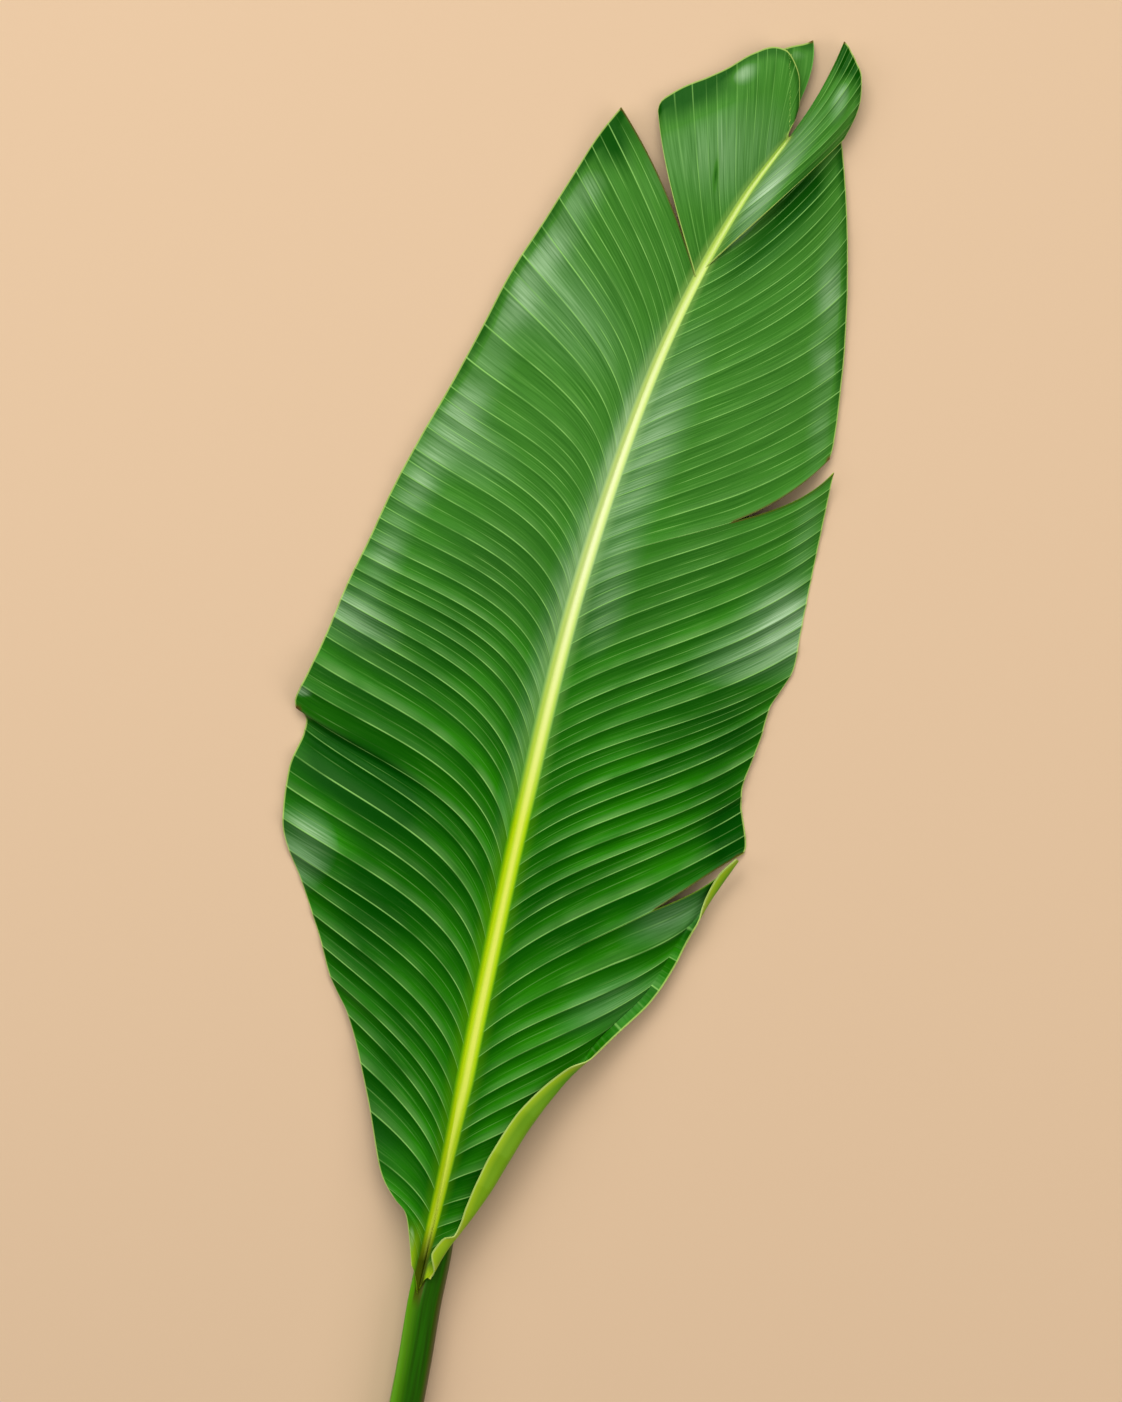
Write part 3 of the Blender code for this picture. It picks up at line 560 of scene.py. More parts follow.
def rolled_points(sizes, curves, along, counts, side, ends, relief):
    """The points of the margin strip that turns over, from the flat part's end to its free edge."""
    strip = curves[4](along)[:, None]
    angle, radius, _ = roll_arc(strip, curves[5](along)[:, None])
    normal = outward_normal(curves, along, side)
    walked = strip * np.arange(1, ROLL_POINTS + 1) / ROLL_POINTS
    bent = np.minimum(walked / radius, angle)
    straight = np.maximum(walked - radius * angle, 0.0)
    out = radius * np.sin(bent) + straight * np.cos(bent)
    up = radius * (1 - np.cos(bent)) + straight * np.sin(bent)
    up = up + (pleat_rise(sizes, along, counts) * relief)[:, None]
    points = np.empty((len(along), ROLL_POINTS, 3))
    points[..., :2] = ends[:, None, :2] + out[..., None] * normal[:, None]
    points[..., 2] = ends[:, 2:3] + up
    return points, walked


def distance_to_row(points, row):
    """How far each point lies in plan from the named row's point that is as far along its vein."""
    return np.linalg.norm(points[..., :2] - points[row][None, :, :2], axis=-1)


def lobe_grid(
        sizes, stations, sweep, side, first_count=0, lift=0.0, dip=None, tears=(), torn=(), folded=1.0,
        rimmed=(), margin_sheen_share=1.0):
    """Points of one lobe and what its materials read there.

    A tear is (along, part still whole, margin point, heading). Torn names the rows beside a tear, each with
    the part of its vein that is whole. Rimmed names the rows that are a pale rim.
    """
    curves = column_curves(stations)
    has_roll = len(curves) > 4
    counts, along, pleats = vein_places(stations[0][0], stations[-1][0])
    parts = 1 - np.linspace(1, 0, VEIN_POINTS) ** CLOSER_AT_MARGIN
    ends, headings = margin_ends(curves, along, side)
    plans, lengths = vein_plans(sweep, along, side, ends, headings, parts)
    raised = lift - (dip(along) if dip else np.zeros_like(along))
    relief = pleat_relief(plans, along, counts, folded)
    heights = vein_heights(sizes, sweep, along, counts + first_count, ends, plans, parts, raised, relief)
    points = np.concatenate([plans, heights[..., None]], -1)
    for tear_along, whole, middle, heading in tears:
        row = int(np.argmin(np.abs(along - tear_along)))
        own = slice(row, row + 1)
        shared_plan, _ = vein_plans(sweep, along[own], side, middle[None], np.array([heading]), parts)
        shared_height = vein_heights(
            sizes, sweep, along[own], counts[own] + first_count, middle[None], shared_plan, parts,
            np.zeros(1), relief[own])
        shared = np.concatenate([shared_plan[0], shared_height[0][:, None]], -1)
        closed = 1 - np.maximum(parts - whole, 0.0) / (1 - whole)
        near = np.maximum(1 - np.abs(counts - counts[row]) / TEAR_REACH, 0.0)
        points = points + (shared - points[row])[None] * closed[None, :, None] * near[:, None, None]
    tear = np.full(points.shape[:2], FAR_AWAY)
    for row, whole in torn:
        tear = np.minimum(tear, np.where(parts[None] >= whole, distance_to_row(points, row), FAR_AWAY))
    run = lengths[:, None] * parts
    edge = lengths[:, None] * (1 - parts)
    if has_roll:
        rolled, walked = rolled_points(sizes, curves, along, counts + first_count, side, ends, relief[:, -1])
        points = np.concatenate([points, rolled], 1)
        strip = curves[4](along)[:, None]
        run = np.concatenate([run, lengths[:, None] + walked], 1)
        edge = np.concatenate([edge + strip, strip - walked], 1)
        tear = np.concatenate([tear, np.repeat(tear[:, -1:], ROLL_POINTS, 1)], 1)
        relief = np.concatenate([relief, np.repeat(relief[:, -1:], ROLL_POINTS, 1)], 1)
    x, y = points[..., 0], points[..., 1]
    painted_sheen_and_shade = painted_sheen_and_shade_at(x, y, edge, side, margin_sheen_share)
    for row in rimmed:
        edge = np.minimum(edge, distance_to_row(points, row))
    count = np.broadcast_to((counts + first_count)[:, None], x.shape)
    values = zip(VALUES, (count, run, band_place(points), edge, dryness(x, y, tear), y, painted_sheen_and_shade, relief))
    return {"points": points, "side": side, "pleats": pleats, **dict(values)}


def dryness(x, y, tear):
    """How dry and brown the blade is: along the tears, and at the tips that dried first."""
    dry = 1 - ease(tear, *TEAR_BROWN)
    for across, along, reach in DRY_TIPS:
        dry = np.maximum(dry, 1 - ease(np.hypot(x - across, y - along), 0.4 * reach, reach))
    return dry


def painted_sheen_and_shade_at(x, y, edge, side, margin_sheen_share):
    """How much painted sheen lies at plan points; below zero a deeper green is painted as shade instead."""
    # Painted sheen: a pale band a little inside the margin of the upper half, uneven along it
    uneven = 0.6 + 0.5 * ripple(x / 17 + 4, y / 15, "haze")
    haze = MARGIN_SHEEN_LEFT if side < 0 else MARGIN_SHEEN_RIGHT
    total = margin_sheen_share * haze * ease(y, *MARGIN_SHEEN_ALONG) * uneven * np.exp(-((edge - MARGIN_SHEEN_INSIDE) / MARGIN_SHEEN_REACH) ** 2)
    # Painted shade: a deeper green strip beside the margin towards the tip
    deeper = 0.8 + 0.3 * ripple(x / 19, y / 21, "deeper")
    total = total - ease(y, *MARGIN_SHADE_ALONG) * deeper * (1 - ease(edge, *MARGIN_SHADE_STRIP))
    for across, along, reach_across, reach_along, turn, strength in PAINTED_SHEEN_AND_SHADE:
        off = turned(np.stack([x - across, y - along], -1), -turn) / (reach_across, reach_along)
        total = total + strength * np.exp(-off[..., 0] ** 2 - off[..., 1] ** 2)
    return np.clip(total, -1.0, 1.5)


def tear_between(tear, first, second, side):
    """The vein a tear follows, from the two lobes' tables: it ends midway between their corners."""
    along = np.array([float(tear[0])])
    ends = [margin_ends(column_curves(stations), along, side) for stations in (first, second)]
    middle, heading = [(before[0] + after[0]) / 2 for before, after in zip(*ends)]
    return *tear, middle, float(heading)


def in_frame(points):
    """Plan millimetres as the frame's metres."""
    a = math.radians(LEAN)
    x = points[..., 0] * math.cos(a) - points[..., 1] * math.sin(a) - PLAN_MIDDLE[0]
    y = points[..., 0] * math.sin(a) + points[..., 1] * math.cos(a) - PLAN_MIDDLE[1]
    return np.stack([x, y, points[..., 2]], -1) * MM


def grid_faces(rows, columns, side, first):
    """Four-sided faces of a grid of points, facing up on both halves of the leaf."""
    k, c = np.meshgrid(np.arange(rows - 1), np.arange(columns - 1), indexing="ij")
    a = first + k * columns + c
    corners = [a, a + 1, a + columns + 1, a + columns]
    if side < 0:
        corners.reverse()
    return np.stack([corner.ravel() for corner in corners], -1)


def new_object(name, points, faces, values):
    """An object at the origin, from points in metres and faces, with its values at every point."""
    mesh = bpy.data.meshes.new(name)
    mesh.from_pydata(points.tolist(), [], faces if isinstance(faces, list) else faces.tolist())
    for kind, numbers in values.items():
        mesh.attributes.new(kind, "FLOAT", "POINT").data.foreach_set("value", numbers.astype(np.float32))
    mesh.update()
    made = bpy.data.objects.new(name, mesh)
    bpy.context.scene.collection.objects.link(made)
    return made


def only(made):
    """Makes this the one selected and active object."""
    bpy.ops.object.select_all(action="DESELECT")
    made.select_set(True)
    bpy.context.view_layer.objects.active = made


def blade_sheet(sizes, name, grids, materials):
    """A blade piece with its thickness: upper face, underside and rim."""
    points, faces, first = [], [], 0
    for grid in grids:
        rows, columns = grid["points"].shape[:2]
        points.append(in_frame(grid["points"]).reshape(-1, 3))
        faces.append(grid_faces(rows, columns, grid["side"], first))
        first += rows * columns
    values = {kind: np.concatenate([grid[kind].ravel() for grid in grids]) for kind in VALUES}
    made = new_object(name, np.concatenate(points), np.concatenate(faces), values)
    only(made)
    bpy.ops.object.mode_set(mode="EDIT")
    bpy.ops.mesh.select_all(action="SELECT")
    bpy.ops.mesh.remove_doubles(threshold=WELD_DISTANCE * MM)
    bpy.ops.object.mode_set(mode="OBJECT")
    for material in materials:
        made.data.materials.append(material)
    solidify = made.modifiers.new("thickness", "SOLIDIFY")
    solidify.thickness = sizes.blade_thickness
    solidify.offset = 0.0
    solidify.material_offset = 1
    solidify.material_offset_rim = 1
    bpy.ops.object.modifier_apply(modifier="thickness")
    bpy.ops.object.shade_smooth_by_angle(angle=math.radians(BLADE_SMOOTH_DEGREES))
    finish_piece(made)


def finish_piece(made):
    """The piece rides on the leaf's one body and stands for its solid, which is hidden."""
    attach(made, "root")
    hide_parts("leaf")


def node(tree, kind, inputs=(), out=0, **settings):
    """Adds a shader node with its settings and its inputs, values or links, and gives its output."""
    made = tree.nodes.new("ShaderNode" + kind)
    for name, value in settings.items():
        setattr(made, name, value)
    for name, value in inputs.items() if isinstance(inputs, dict) else enumerate(inputs):
        if isinstance(value, bpy.types.NodeSocket):
            tree.links.new(value, made.inputs[name])
        else:
            made.inputs[name].default_value = value
    return None if out is None else made.outputs[out]


def new_material(name):
    """A material with an empty node tree."""
    material = bpy.data.materials.new(name)
    material.use_nodes = True
    material.node_tree.nodes.clear()
    return material, material.node_tree


def surfaced(material, finish):
    """Gives the material its finish, as one Principled shader."""
    shader = node(material.node_tree, "BsdfPrincipled", finish)
    node(material.node_tree, "OutputMaterial", {"Surface": shader}, None)
    return material


def share_of(tree, *factors):
    """How much of something shows: its factors multiplied, each a value or a ramp of one.

    A ramp is (value, from, to, share at from, share at to), and may end with the name of its curve.
    """
    share = None
    for factor in factors:
        if isinstance(factor, tuple):
            curve = factor[5] if len(factor) > 5 else "LINEAR"
            factor = node(tree, "MapRange", factor[:5], interpolation_type=curve)
        share = factor if share is None else node(tree, "Math", (share, factor), operation="MULTIPLY")
    return share


def painted(tree, colour, layers):
    """Lays colours over one another in turn: each layer is its colour and the factors of its share."""
    for over, *factors in layers:
        inputs = {0: share_of(tree, *factors), 6: colour, 7: over}
        colour = node(tree, "Mix", inputs, 2, data_type="RGBA")
    return colour


def long_noise(tree, across, along, slowness, scale=1.0, detail=2.0, apart=0.0):
    """Noise drawn out into long streaks: fast across the veins and slow along them."""
    slow = node(tree, "Math", (along, slowness), operation="MULTIPLY")
    place = node(tree, "CombineXYZ", (across, slow, apart))
    return node(tree, "TexNoise", {"Vector": place, "Scale": scale, "Detail": detail})


def margin_line(sizes, edge, strength):
    """The ramp of the pale line along the margin."""
    width = sizes.margin_width / MM
    return edge, width * LINE_FADE[0], width * LINE_FADE[1], strength, 0.0


def rib_colours(tree, colours, band, along):
    """The midrib's colour, by half widths of its band from the middle, and how much of it shows."""
    def beside(middle, start, end, most=1.0):
        off = node(tree, "Math", (band, middle), operation="SUBTRACT")
        off = node(tree, "Math", (off,), operation="ABSOLUTE")
        return off, start, end, most, 0.0, "SMOOTHSTEP"

    # The strip narrows and bears left at the foot of the blade, and bears left again in its upper half.
    shift = node(tree, "MapRange", (along, 20.0, 110.0, 0.35, 0.0))
    again = node(tree, "MapRange", (along, 260.0, 350.0, 0.0, 0.32))
    shift = node(tree, "Math", (shift, again), operation="ADD")
    squeeze = node(tree, "MapRange", (along, 20.0, 110.0, 1.7, 1.0))
    band = node(tree, "Math", (band, shift), operation="ADD")
    band = node(tree, "Math", (band, squeeze), operation="MULTIPLY")

    # Flanks of two greens, an olive channel at the foot painted as shade, and the cream strip, all paler in
    # the upper half, partly by painted sheen
    upper = node(tree, "MapRange", (along, 240.0, 370.0))
    running = node(tree, "MapRange", (along, 22.0, 36.0, 0.0, 0.55))
    fuller = node(tree, "MapRange", (along, 75.0, 130.0, 0.0, 0.37))
    running = node(tree, "Math", (running, fuller), operation="ADD")
    colour = painted(tree, colours.flank_green_and_stalk_light, (
        (colours.rib_green, beside(0.2, 0.65, 1.15)),
        # Paler in the upper half: partly its own colour, partly painted sheen
        (colours.rib_pale_and_sheen, upper, 0.3),
        # Painted shade: the channel at the foot
        (colours.channel_shade_olive, (along, 22.0, 40.0, 1.0, 0.3), (along, 60.0, 120.0, 1.0, 0.0)),
        (colours.rib_cream, beside(0.3, 0.1, 0.65), running),
        (colours.rib_pale_and_sheen, upper, beside(0.3, 0.0, 0.75, 0.65)),
        (colours.rib_green, (along, 420.0, 520.0, 0.0, 0.4)),
    ))
    near = share_of(tree, beside(0.15, 0.95, 1.4))
    wide = share_of(tree, beside(0.0, 1.0, 2.8, 0.3))
    return colour, node(tree, "Math", (near, wide), operation="MAXIMUM")


def living_cuticle(sizes, colours):
    """Fresh leaf upper face: saturated green under a waxy cuticle, which gives each pleat a satin sheen, with
    painted sheen, highlights and shade laid over the green.
    """
    material, tree = new_material("living_cuticle")
    count, run, band, edge, dry, rib_along, painted_sheen_and_shade, folded = [
        node(tree, "Attribute", out="Fac", attribute_name=name) for name in VALUES]

    # Colour drifts over 60 to 100 mm, and each pleat has its own tone.
    place = node(tree, "TexCoord", out="Object")
    drift = node(tree, "TexNoise", {"Vector": place, "Scale": 13.0, "Detail": 3.0, "Roughness": 0.5})
    own = node(tree, "Math", (count,), operation="FLOOR")
    tone = node(tree, "TexWhiteNoise", {"W": own}, noise_dimensions="1D")
    mixed = node(tree, "Math", (tone, 0.22, drift), operation="MULTIPLY_ADD")

    # Fine parallel veins between the side veins, about 0.8 mm apart, and broken along their length
    fine_count = node(tree, "Math", (count, THREADS_ABOVE), operation="MULTIPLY")
    threads = long_noise(tree, fine_count, run, 0.03)

    # The side veins' own strength, which also comes and goes along them
    nearest = node(tree, "Math", (count, 0.5), operation="ADD")
    nearest = node(tree, "Math", (nearest,), operation="FLOOR")
    strength = share_of(tree, (long_noise(tree, nearest, run, 0.025, 1.7, 1.0), 0.34, 0.62, 0.25, 1.0))

    # Painted sheen is stronger on the foot side of each pleat, and even where the blade is flat.
    within = node(tree, "Math", (count,), operation="FRACT")
    painted_sheen_side = share_of(tree, (within, 0.1, 0.8, 1.0, 0.3, "SMOOTHSTEP"))
    pleated = node(tree, "Math", (folded, 0.5), operation="POWER")
    painted_sheen_side = node(tree, "Mix", {0: pleated, 2: 0.85, 3: painted_sheen_side})

    # The side veins, each a thin pale line of its own strength, with fainter ones midway between them
    half_line = 0.5 * sizes.vein_width / MM / PLEAT_PITCH
    off_vein = node(tree, "Math", (count, 0.5), operation="PINGPONG")
    line = share_of(tree, (off_vein, half_line * 0.5, half_line * 2.2, 0.8, 0.0), strength)
    double = node(tree, "Math", (count, 2.0), operation="MULTIPLY")
    off_half = node(tree, "Math", (double, 0.5), operation="PINGPONG")
    whole = node(tree, "Math", (double, 0.5), operation="ADD")
    whole = node(tree, "Math", (whole,), operation="FLOOR")
    seen = long_noise(tree, whole, run, 0.02, 1.7, 1.0, apart=7.0)
    faint = share_of(
        tree, (off_half, half_line, half_line * 4, 0.6, 0.0), (seen, 0.4, 0.65, 0.1, 1.0),
        (rib_along, 250.0, 400.0, 0.4, 1.0))
    line = node(tree, "Math", (line, faint), operation="MAXIMUM")
    line = share_of(tree, line, (folded, 0.0, 0.25, 0.3, 1.0))

    # At the foot both halves are yellow-green beside the channel, like the flap that folds over it.
    foot = share_of(tree, (rib_along, 15.0, 24.0, 1.0, 0.0, "SMOOTHSTEP"))
    flap = share_of(tree, foot, (band, 0.3, 0.6, 0.0, 0.85))
    left = share_of(tree, (rib_along, 15.0, 46.0, 0.75, 0.0, "SMOOTHSTEP"), (band, -0.9, -1.7, 0.0, 1.0))
    flap = node(tree, "Math", (flap, left), operation="MAXIMUM")

    # Each pleat has a painted highlight beside the vein on its foot side and painted shade towards the next
    # one.
    # Then come the painted sheen and shade, the veins, the midrib's colours close beside it, the margin line
    # and the dry brown along the tears.
    rib_colour, rib_share = rib_colours(tree, colours, band, rib_along)
    green = painted(tree, colours.deep_green, (
        (colours.fresh_green, (mixed, 0.32, 0.74, 0.0, 1.0)),
        # The upper half: partly its own lighter green and partly painted sheen
        (colours.upper_green_and_sheen, (rib_along, 260.0, 430.0, 0.0, 0.85)),
        (colours.deep_green, (threads, 0.32, 0.52, 0.3, 0.0)),
        (colours.vein_green, (threads, 0.56, 0.74, 0.0, 0.12)),
        # Painted highlight: the lighter band beside each vein
        (colours.lit_green, (within, 0.0, 0.45, 0.75, 0.0, "SMOOTHERSTEP"), strength, folded,
         (tone, 0.0, 1.0, 0.15, 0.8), (rib_along, 200.0, 340.0, 0.6, 1.0)),
        # Painted shade: deeper green towards the next vein
        (colours.deep_green, (within, 0.35, 1.0, 0.0, 0.75), folded),
        # Painted shade where the painted sheen and shade value is below zero
        (colours.deep_green, (painted_sheen_and_shade, 0.0, -1.0, 0.0, 0.92)),
        # Painted sheen and glints where that value is above zero
        (colours.painted_sheen_pale, painted_sheen_side, (threads, 0.3, 0.7, 0.35, 1.1), (tone, 0.0, 1.0, 0.6, 1.2),
         (painted_sheen_and_shade, 0.05, 1.5, 0.0, 0.95)),
        (colours.vein_green, line),
        (rib_colour, rib_share),
        (colours.roll_yellow, flap),
        (colours.margin_green, margin_line(sizes, edge, 0.75)),
        (colours.rib_cream, foot, (edge, 0.5, 1.1, 0.9, 0.0)),
        (colours.dry_brown, dry),
    ))
    relief = node(tree, "Math", (threads, 0.5, line), operation="MULTIPLY_ADD")
    return surfaced(material, {
        "Base Color": green,
        "Roughness": node(tree, "MapRange", (drift, 0.3, 0.7, 0.25, 0.36)),
        "Normal": node(tree, "Bump", {"Strength": 0.35, "Distance": 0.0002, "Height": relief}),
        "IOR": LEAF_IOR,
        "Specular IOR Level": 0.16,
        "Specular Tint": (0.4, 1.0, 0.3, 1.0),
    })


def matt_underside(sizes, colours):
    """Leaf underside: lighter, yellower and matt, as it has no wax that shines."""
    material, tree = new_material("matt_underside")
    count, run, edge, rib_along = [
        node(tree, "Attribute", out="Fac", attribute_name=name)
        for name in ("vein_count", "vein_run", "edge_distance", "rib_along")]
    place = node(tree, "TexCoord", out="Object")
    drift = node(tree, "TexNoise", {"Vector": place, "Scale": 20.0, "Detail": 3.0})
    green = painted(tree, colours.under_green, (
        (colours.fresh_green, (drift, 0.35, 0.65, 0.0, 0.5)),
        (colours.roll_yellow, (rib_along, 15.0, 130.0, 0.5, 0.0)),
        (colours.roll_yellow, (edge, 0.7, 4.5, 0.8, 0.0)),
        (colours.margin_green, margin_line(sizes, edge, 0.9)),
    ))
    fine_count = node(tree, "Math", (count, THREADS_BELOW), operation="MULTIPLY")
    threads = long_noise(tree, fine_count, run, 0.03)
    return surfaced(material, {
        "Base Color": green,
        "Roughness": 0.5,
        "Normal": node(tree, "Bump", {"Strength": 0.3, "Distance": 0.0002, "Height": threads}),
        "IOR": LEAF_IOR,
    })


def stalk_skin(colours):
    """Stalk and midrib skin: smooth and waxy, pale along the midrib's band and fibrous green below it."""
    material, tree = new_material("stalk_skin")
    band, along, around = [
        node(tree, "Attribute", out="Fac", attribute_name=name)
        for name in ("band_place", "rib_along", "around")]
    pale, _ = rib_colours(tree, colours, band, along)

    # The midrib's colours begin at the foot of the blade, where they keep to a narrower band. Below it the
    # stalk has long fibres, a lighter left side that is painted light, and a reddish right one.
    off_middle = node(tree, "Math", (band,), operation="ABSOLUTE")
    off_middle = share_of(tree, off_middle, (along, 12.0, 70.0, 3.0, 1.0))
    fine_around = node(tree, "Math", (around, FIBRES_AROUND), operation="MULTIPLY")
    fibres = long_noise(tree, fine_around, along, 0.02, detail=3.0)
    green = painted(tree, colours.stalk_green, (
        (colours.fresh_green, (fibres, 0.35, 0.65, 0.0, 0.35)),
        # Painted light on the stalk's left side
        (colours.flank_green_and_stalk_light, (band, -1.6, 0.9, 0.85, 0.0, "SMOOTHSTEP")),
        (colours.stalk_red, (band, 2.25, 3.1, 0.0, 0.8)),
        (pale, (off_middle, 1.25, 1.7, 1.0, 0.0, "SMOOTHSTEP"), (along, -4.0, 6.0, 0.0, 1.0, "SMOOTHSTEP")),
    ))
    return surfaced(material, {
        "Base Color": green,
        "Roughness": 0.36,
        "Normal": node(tree, "Bump", {"Strength": 0.25, "Distance": 0.0003, "Height": fibres}),
        "IOR": LEAF_IOR,
        "Specular IOR Level": 0.3,
        "Specular Tint": (0.9, 1.0, 0.5, 1.0),
    })


def cut_face(colours):
    """Freshly cut stalk end: pale and wet, with the ends of its fibres about 1 mm apart."""
    material, tree = new_material("cut_stalk_end")
    place = node(tree, "TexCoord", out="Object")
    cells = node(tree, "TexVoronoi", {"Vector": place, "Scale": 900.0}, "Distance")
    return surfaced(material, {
        "Base Color": painted(tree, colours.rib_cream, [(colours.under_green, (cells, 0.1, 0.5, 1.0, 0.0))]),
        "Roughness": 0.45,
        "Normal": node(tree, "Bump", {"Strength": 0.4, "Distance": 0.0003, "Height": cells}),
    })


def stalk_sections(along):
    """Closed outlines across the stalk in plan millimetres, and each point's place across the band."""
    curves = column_curves(STALK)
    across, width, depth, shift = [curve(along) for curve in curves]
    top = rib_top(along)
    half = width / 2
    band = band_half(along)
    channel = CHANNEL_DEPTH * ease(along, *CHANNEL_FROM) - STALK_SWELL * (1 - ease(along, *CHANNEL_FROM))
    corners = [(-shift, -channel * band / BAND_HALF)]
    halves = []
    for edge in (band - shift, band + shift):
        outline = [(edge, np.zeros_like(edge))]
        for part, down in STALK_OUTLINE:
            reach = edge + (half - edge) * part if down <= WIDEST_DOWN else half * part
            outline.append((reach, -depth * down))
        halves.append(outline)
    corners += halves[0] + [(-x, z) for x, z in reversed(halves[1])]
    corners = np.stack([np.stack(pair, -1) for pair in corners], 1)
    count = corners.shape[1]
    fine = []
    for i in range(count):
        before, here = corners[:, i - 1], corners[:, i]
        after, beyond = corners[:, (i + 1) % count], corners[:, (i + 2) % count]
        for step in range(STALK_STEPS_BETWEEN):
            u = step / STALK_STEPS_BETWEEN
            fine.append(0.5 * (
                2 * here + (after - before) * u + (2 * before - 5 * here + 4 * after - beyond) * u * u
                + (3 * here - before - 3 * after + beyond) * u ** 3))
    fine = np.stack(fine, 1)
    sideways = turned(line_direction(curves[0], along), -90)
    x = across[:, None] + sideways[:, None, 0] * fine[..., 0]
    y = along[:, None] + sideways[:, None, 1] * fine[..., 0]
    z = np.maximum(top[:, None] + fine[..., 1], 0.0)
    return np.stack([x, y, z], -1), (fine[..., 0] + shift[:, None]) / band[:, None]


def make_stalk(colours):
    """The stalk and midrib: smooth rings from the cut end to the tip, with a rounded rim round the cut."""
    first, last = STALK[0][0], STALK[-1][0]
    along = np.append(np.arange(first + END_BEVEL, last, STALK_RING_STEP), last)
    rings, band = stalk_sections(along)
    middle = rings[0].mean(0)
    inset = middle + (rings[0] - middle) * (1 - END_BEVEL / STALK_END_RADIUS)
    inset[:, 1] -= END_BEVEL
    inset[:, 2] = np.maximum(inset[:, 2], END_BEVEL / 2)
    rings = np.concatenate([inset[None], rings])
    band = np.concatenate([band[:1], band])
    along = np.concatenate([along[:1], along])
    rows, around = rings.shape[:2]
    faces = []
    for start in range(0, (rows - 1) * around, around):
        for i in range(around):
            j = (i + 1) % around
            faces.append((start + i, start + around + i, start + around + j, start + j))
    faces.append(tuple(range(around)))
    faces.append(tuple(reversed(range((rows - 1) * around, rows * around))))
    values = {
        "band_place": band.ravel(),
        "rib_along": np.broadcast_to(along[:, None], band.shape).ravel(),
        "around": np.broadcast_to(np.arange(around) / around, band.shape).ravel(),
    }
    made = new_object("stalk_and_midrib", in_frame(rings).reshape(-1, 3), faces, values)
    made.data.materials.append(stalk_skin(colours))
    made.data.materials.append(cut_face(colours))
    cut_end = len(faces) - 2
    made.data.polygons[cut_end].material_index = 1
    only(made)
    bpy.ops.object.mode_set(mode="EDIT")
    bpy.ops.mesh.select_all(action="SELECT")
    bpy.ops.mesh.normals_make_consistent(inside=False)
    bpy.ops.object.mode_set(mode="OBJECT")
    bpy.ops.object.shade_smooth_by_angle(angle=math.radians(STALK_SMOOTH_DEGREES))
    finish_piece(made)


class LEAF_OT_blade(Operator):
    """Both pleated halves of the blade, with their tears and the rolled margin."""

    bl_idname = "leaf.blade"
    bl_label = "Blade halves"

    def execute(self, context):
        sizes, colours = context.scene.leaf_sizes, context.scene.leaf_colours
        materials = [living_cuticle(sizes, colours), matt_underside(sizes, colours)]
        lower = tear_between(LOWER_TEAR, RIGHT_LOWER, RIGHT_MIDDLE, 1)
        upper = tear_between(UPPER_TEAR, RIGHT_MIDDLE, RIGHT_UPPER, 1)

        def sink(along):
            return RIGHT_UPPER_DIP * ease(along, RIGHT_UPPER_DIP_FROM, RIGHT_UPPER[-1][0])

        left = lobe_grid(sizes, LEFT_MAIN, LEFT_SWEEP, -1, torn=[(-1, 0.0)])
        blade_sheet(sizes, "blade_left", [left], materials)
        first = lobe_grid(sizes, RIGHT_LOWER, RIGHT_SWEEP, 1, tears=[lower], torn=[(-1, LOWER_TEAR[1])])
        count = first["pleats"]
        second = lobe_grid(
            sizes, RIGHT_MIDDLE, RIGHT_SWEEP, 1, count, tears=[lower, upper],
            torn=[(0, LOWER_TEAR[1]), (-1, UPPER_TEAR[1])])
        count += second["pleats"]
        third = lobe_grid(
            sizes, RIGHT_UPPER, RIGHT_SWEEP, 1, count, dip=sink, tears=[upper], torn=[(0, UPPER_TEAR[1])])
        blade_sheet(sizes, "blade_right", [first, second, third], materials)
        return {"FINISHED"}


class LEAF_OT_tip_lobes(Operator):
    """The three lobes at the tip, which slide over one another."""

    bl_idname = "leaf.tip_lobes"
    bl_label = "Tip lobes"

    def execute(self, context):
        sizes = context.scene.leaf_sizes
        materials = [bpy.data.materials["living_cuticle"], bpy.data.materials["matt_underside"]]
        for name, stations, sweep, side, lift, folded, rimmed in TIP_LOBES:
            grid = lobe_grid(
                sizes, stations, sweep, side, TIP_FIRST_COUNT, lift, folded=folded, rimmed=rimmed, margin_sheen_share=0.0)
            blade_sheet(sizes, name, [grid], materials)
        return {"FINISHED"}


class LEAF_OT_stalk(Operator):
    """The stalk, which runs on as the midrib."""

    bl_idname = "leaf.stalk"
    bl_label = "Stalk and midrib"

    def execute(self, context):
        make_stalk(context.scene.leaf_colours)
        return {"FINISHED"}


def soft_box(name, plan_direction, height_degrees, distance, size, power, colour, mirrored):
    """A soft box of light that faces the middle of the leaf, from a direction in plan and a height."""
    a = math.radians(plan_direction + LEAN)
    h = math.radians(height_degrees)
    place = Vector((math.cos(a) * math.cos(h), math.sin(a) * math.cos(h), math.sin(h))) * distance
    target = Vector(in_frame(np.array((*FRAME_MIDDLE, 0.0))).tolist())
    bpy.ops.object.light_add(type="AREA", location=place + target)
    lamp = bpy.context.object
    lamp.name = name
    lamp.rotation_euler = (-place).to_track_quat("-Z", "Y").to_euler()
    lamp.data.shape = "RECTANGLE"
    lamp.data.size, lamp.data.size_y = size
    lamp.data.energy = power
    lamp.data.color = colour
    lamp.visible_glossy = mirrored


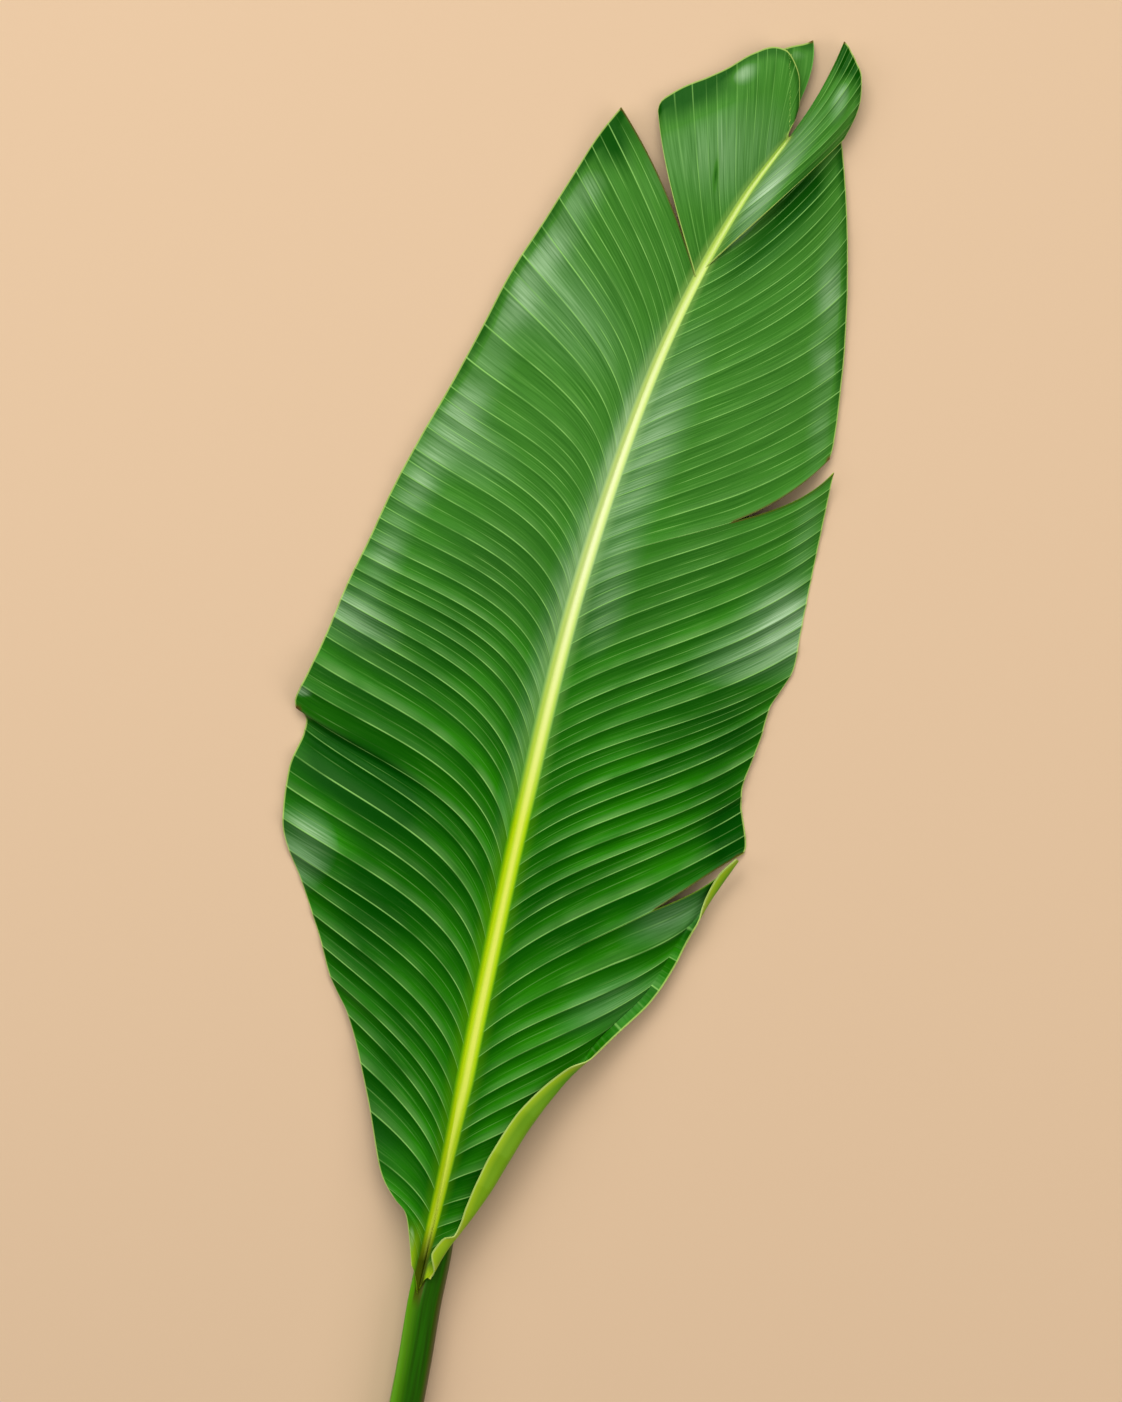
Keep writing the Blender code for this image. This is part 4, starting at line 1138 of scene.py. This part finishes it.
class LEAF_OT_stage(Operator):
    """A plain pale floor, soft studio light and a camera that looks straight down."""

    bl_idname = "leaf.stage"
    bl_label = "Floor, light and camera"

    def execute(self, context):
        colours = context.scene.leaf_colours
        bpy.ops.object.select_all(action="DESELECT")
        bpy.ops.mesh.primitive_plane_add(size=FLOOR_SIZE)
        floor = context.object
        floor.name = "floor"
        # Matt painted board, so that it shows nothing but the leaf's shadow
        board, _ = new_material("plain_floor")
        floor.data.materials.append(surfaced(board, {"Base Color": colours.floor, "Roughness": 0.8}))

        for box in SOFT_BOXES:
            soft_box(*box)
        world = bpy.data.worlds.new("soft_room")
        world.use_nodes = True
        background = world.node_tree.nodes["Background"]
        background.inputs["Color"].default_value = ROOM_COLOUR
        background.inputs["Strength"].default_value = ROOM_STRENGTH
        context.scene.world = world
        context.scene.view_settings.view_transform = "Standard"

        centre = in_frame(np.array((*FRAME_MIDDLE, CAMERA_HEIGHT)))
        bpy.ops.object.camera_add(location=centre.tolist(), rotation=(0, 0, math.radians(LEAN)))
        camera = context.object
        camera.name = "camera"
        camera.data.sensor_fit = "HORIZONTAL"
        camera.data.sensor_width = SENSOR_WIDTH
        camera.data.lens = SENSOR_WIDTH * CAMERA_HEIGHT / FRAME_WIDTH
        camera.data.clip_end = CLIP_END
        context.scene.camera = camera
        return {"FINISHED"}


class LEAF_PT_panel(Panel):
    """The leaf's sizes, colours and pieces in the 3D view's sidebar."""

    bl_idname = "LEAF_PT_panel"
    bl_label = "Leaf"
    bl_space_type = "VIEW_3D"
    bl_region_type = "UI"
    bl_category = "Leaf"

    def draw(self, context):
        for group in (context.scene.leaf_sizes, context.scene.leaf_colours):
            for name in group.__annotations__:
                self.layout.prop(group, name)
        for operator in OPERATORS:
            self.layout.operator(operator.bl_idname)


OPERATORS = (LEAF_OT_blade, LEAF_OT_tip_lobes, LEAF_OT_stalk, LEAF_OT_stage)
CLASSES = (LeafSizes, LeafColours) + OPERATORS + (LEAF_PT_panel,)


def register():
    for cls in CLASSES:
        bpy.utils.register_class(cls)
    bpy.types.Scene.leaf_sizes = PointerProperty(type=LeafSizes)
    bpy.types.Scene.leaf_colours = PointerProperty(type=LeafColours)


def unregister():
    del bpy.types.Scene.leaf_colours
    del bpy.types.Scene.leaf_sizes
    for cls in reversed(CLASSES):
        bpy.utils.unregister_class(cls)


def main():
    register()
    bpy.ops.object.select_all(action="DESELECT")
    bpy.ops.leaf.blade()
    bpy.ops.leaf.tip_lobes()
    bpy.ops.leaf.stalk()
    bpy.ops.leaf.stage()


if __name__ == "__main__":
    main()
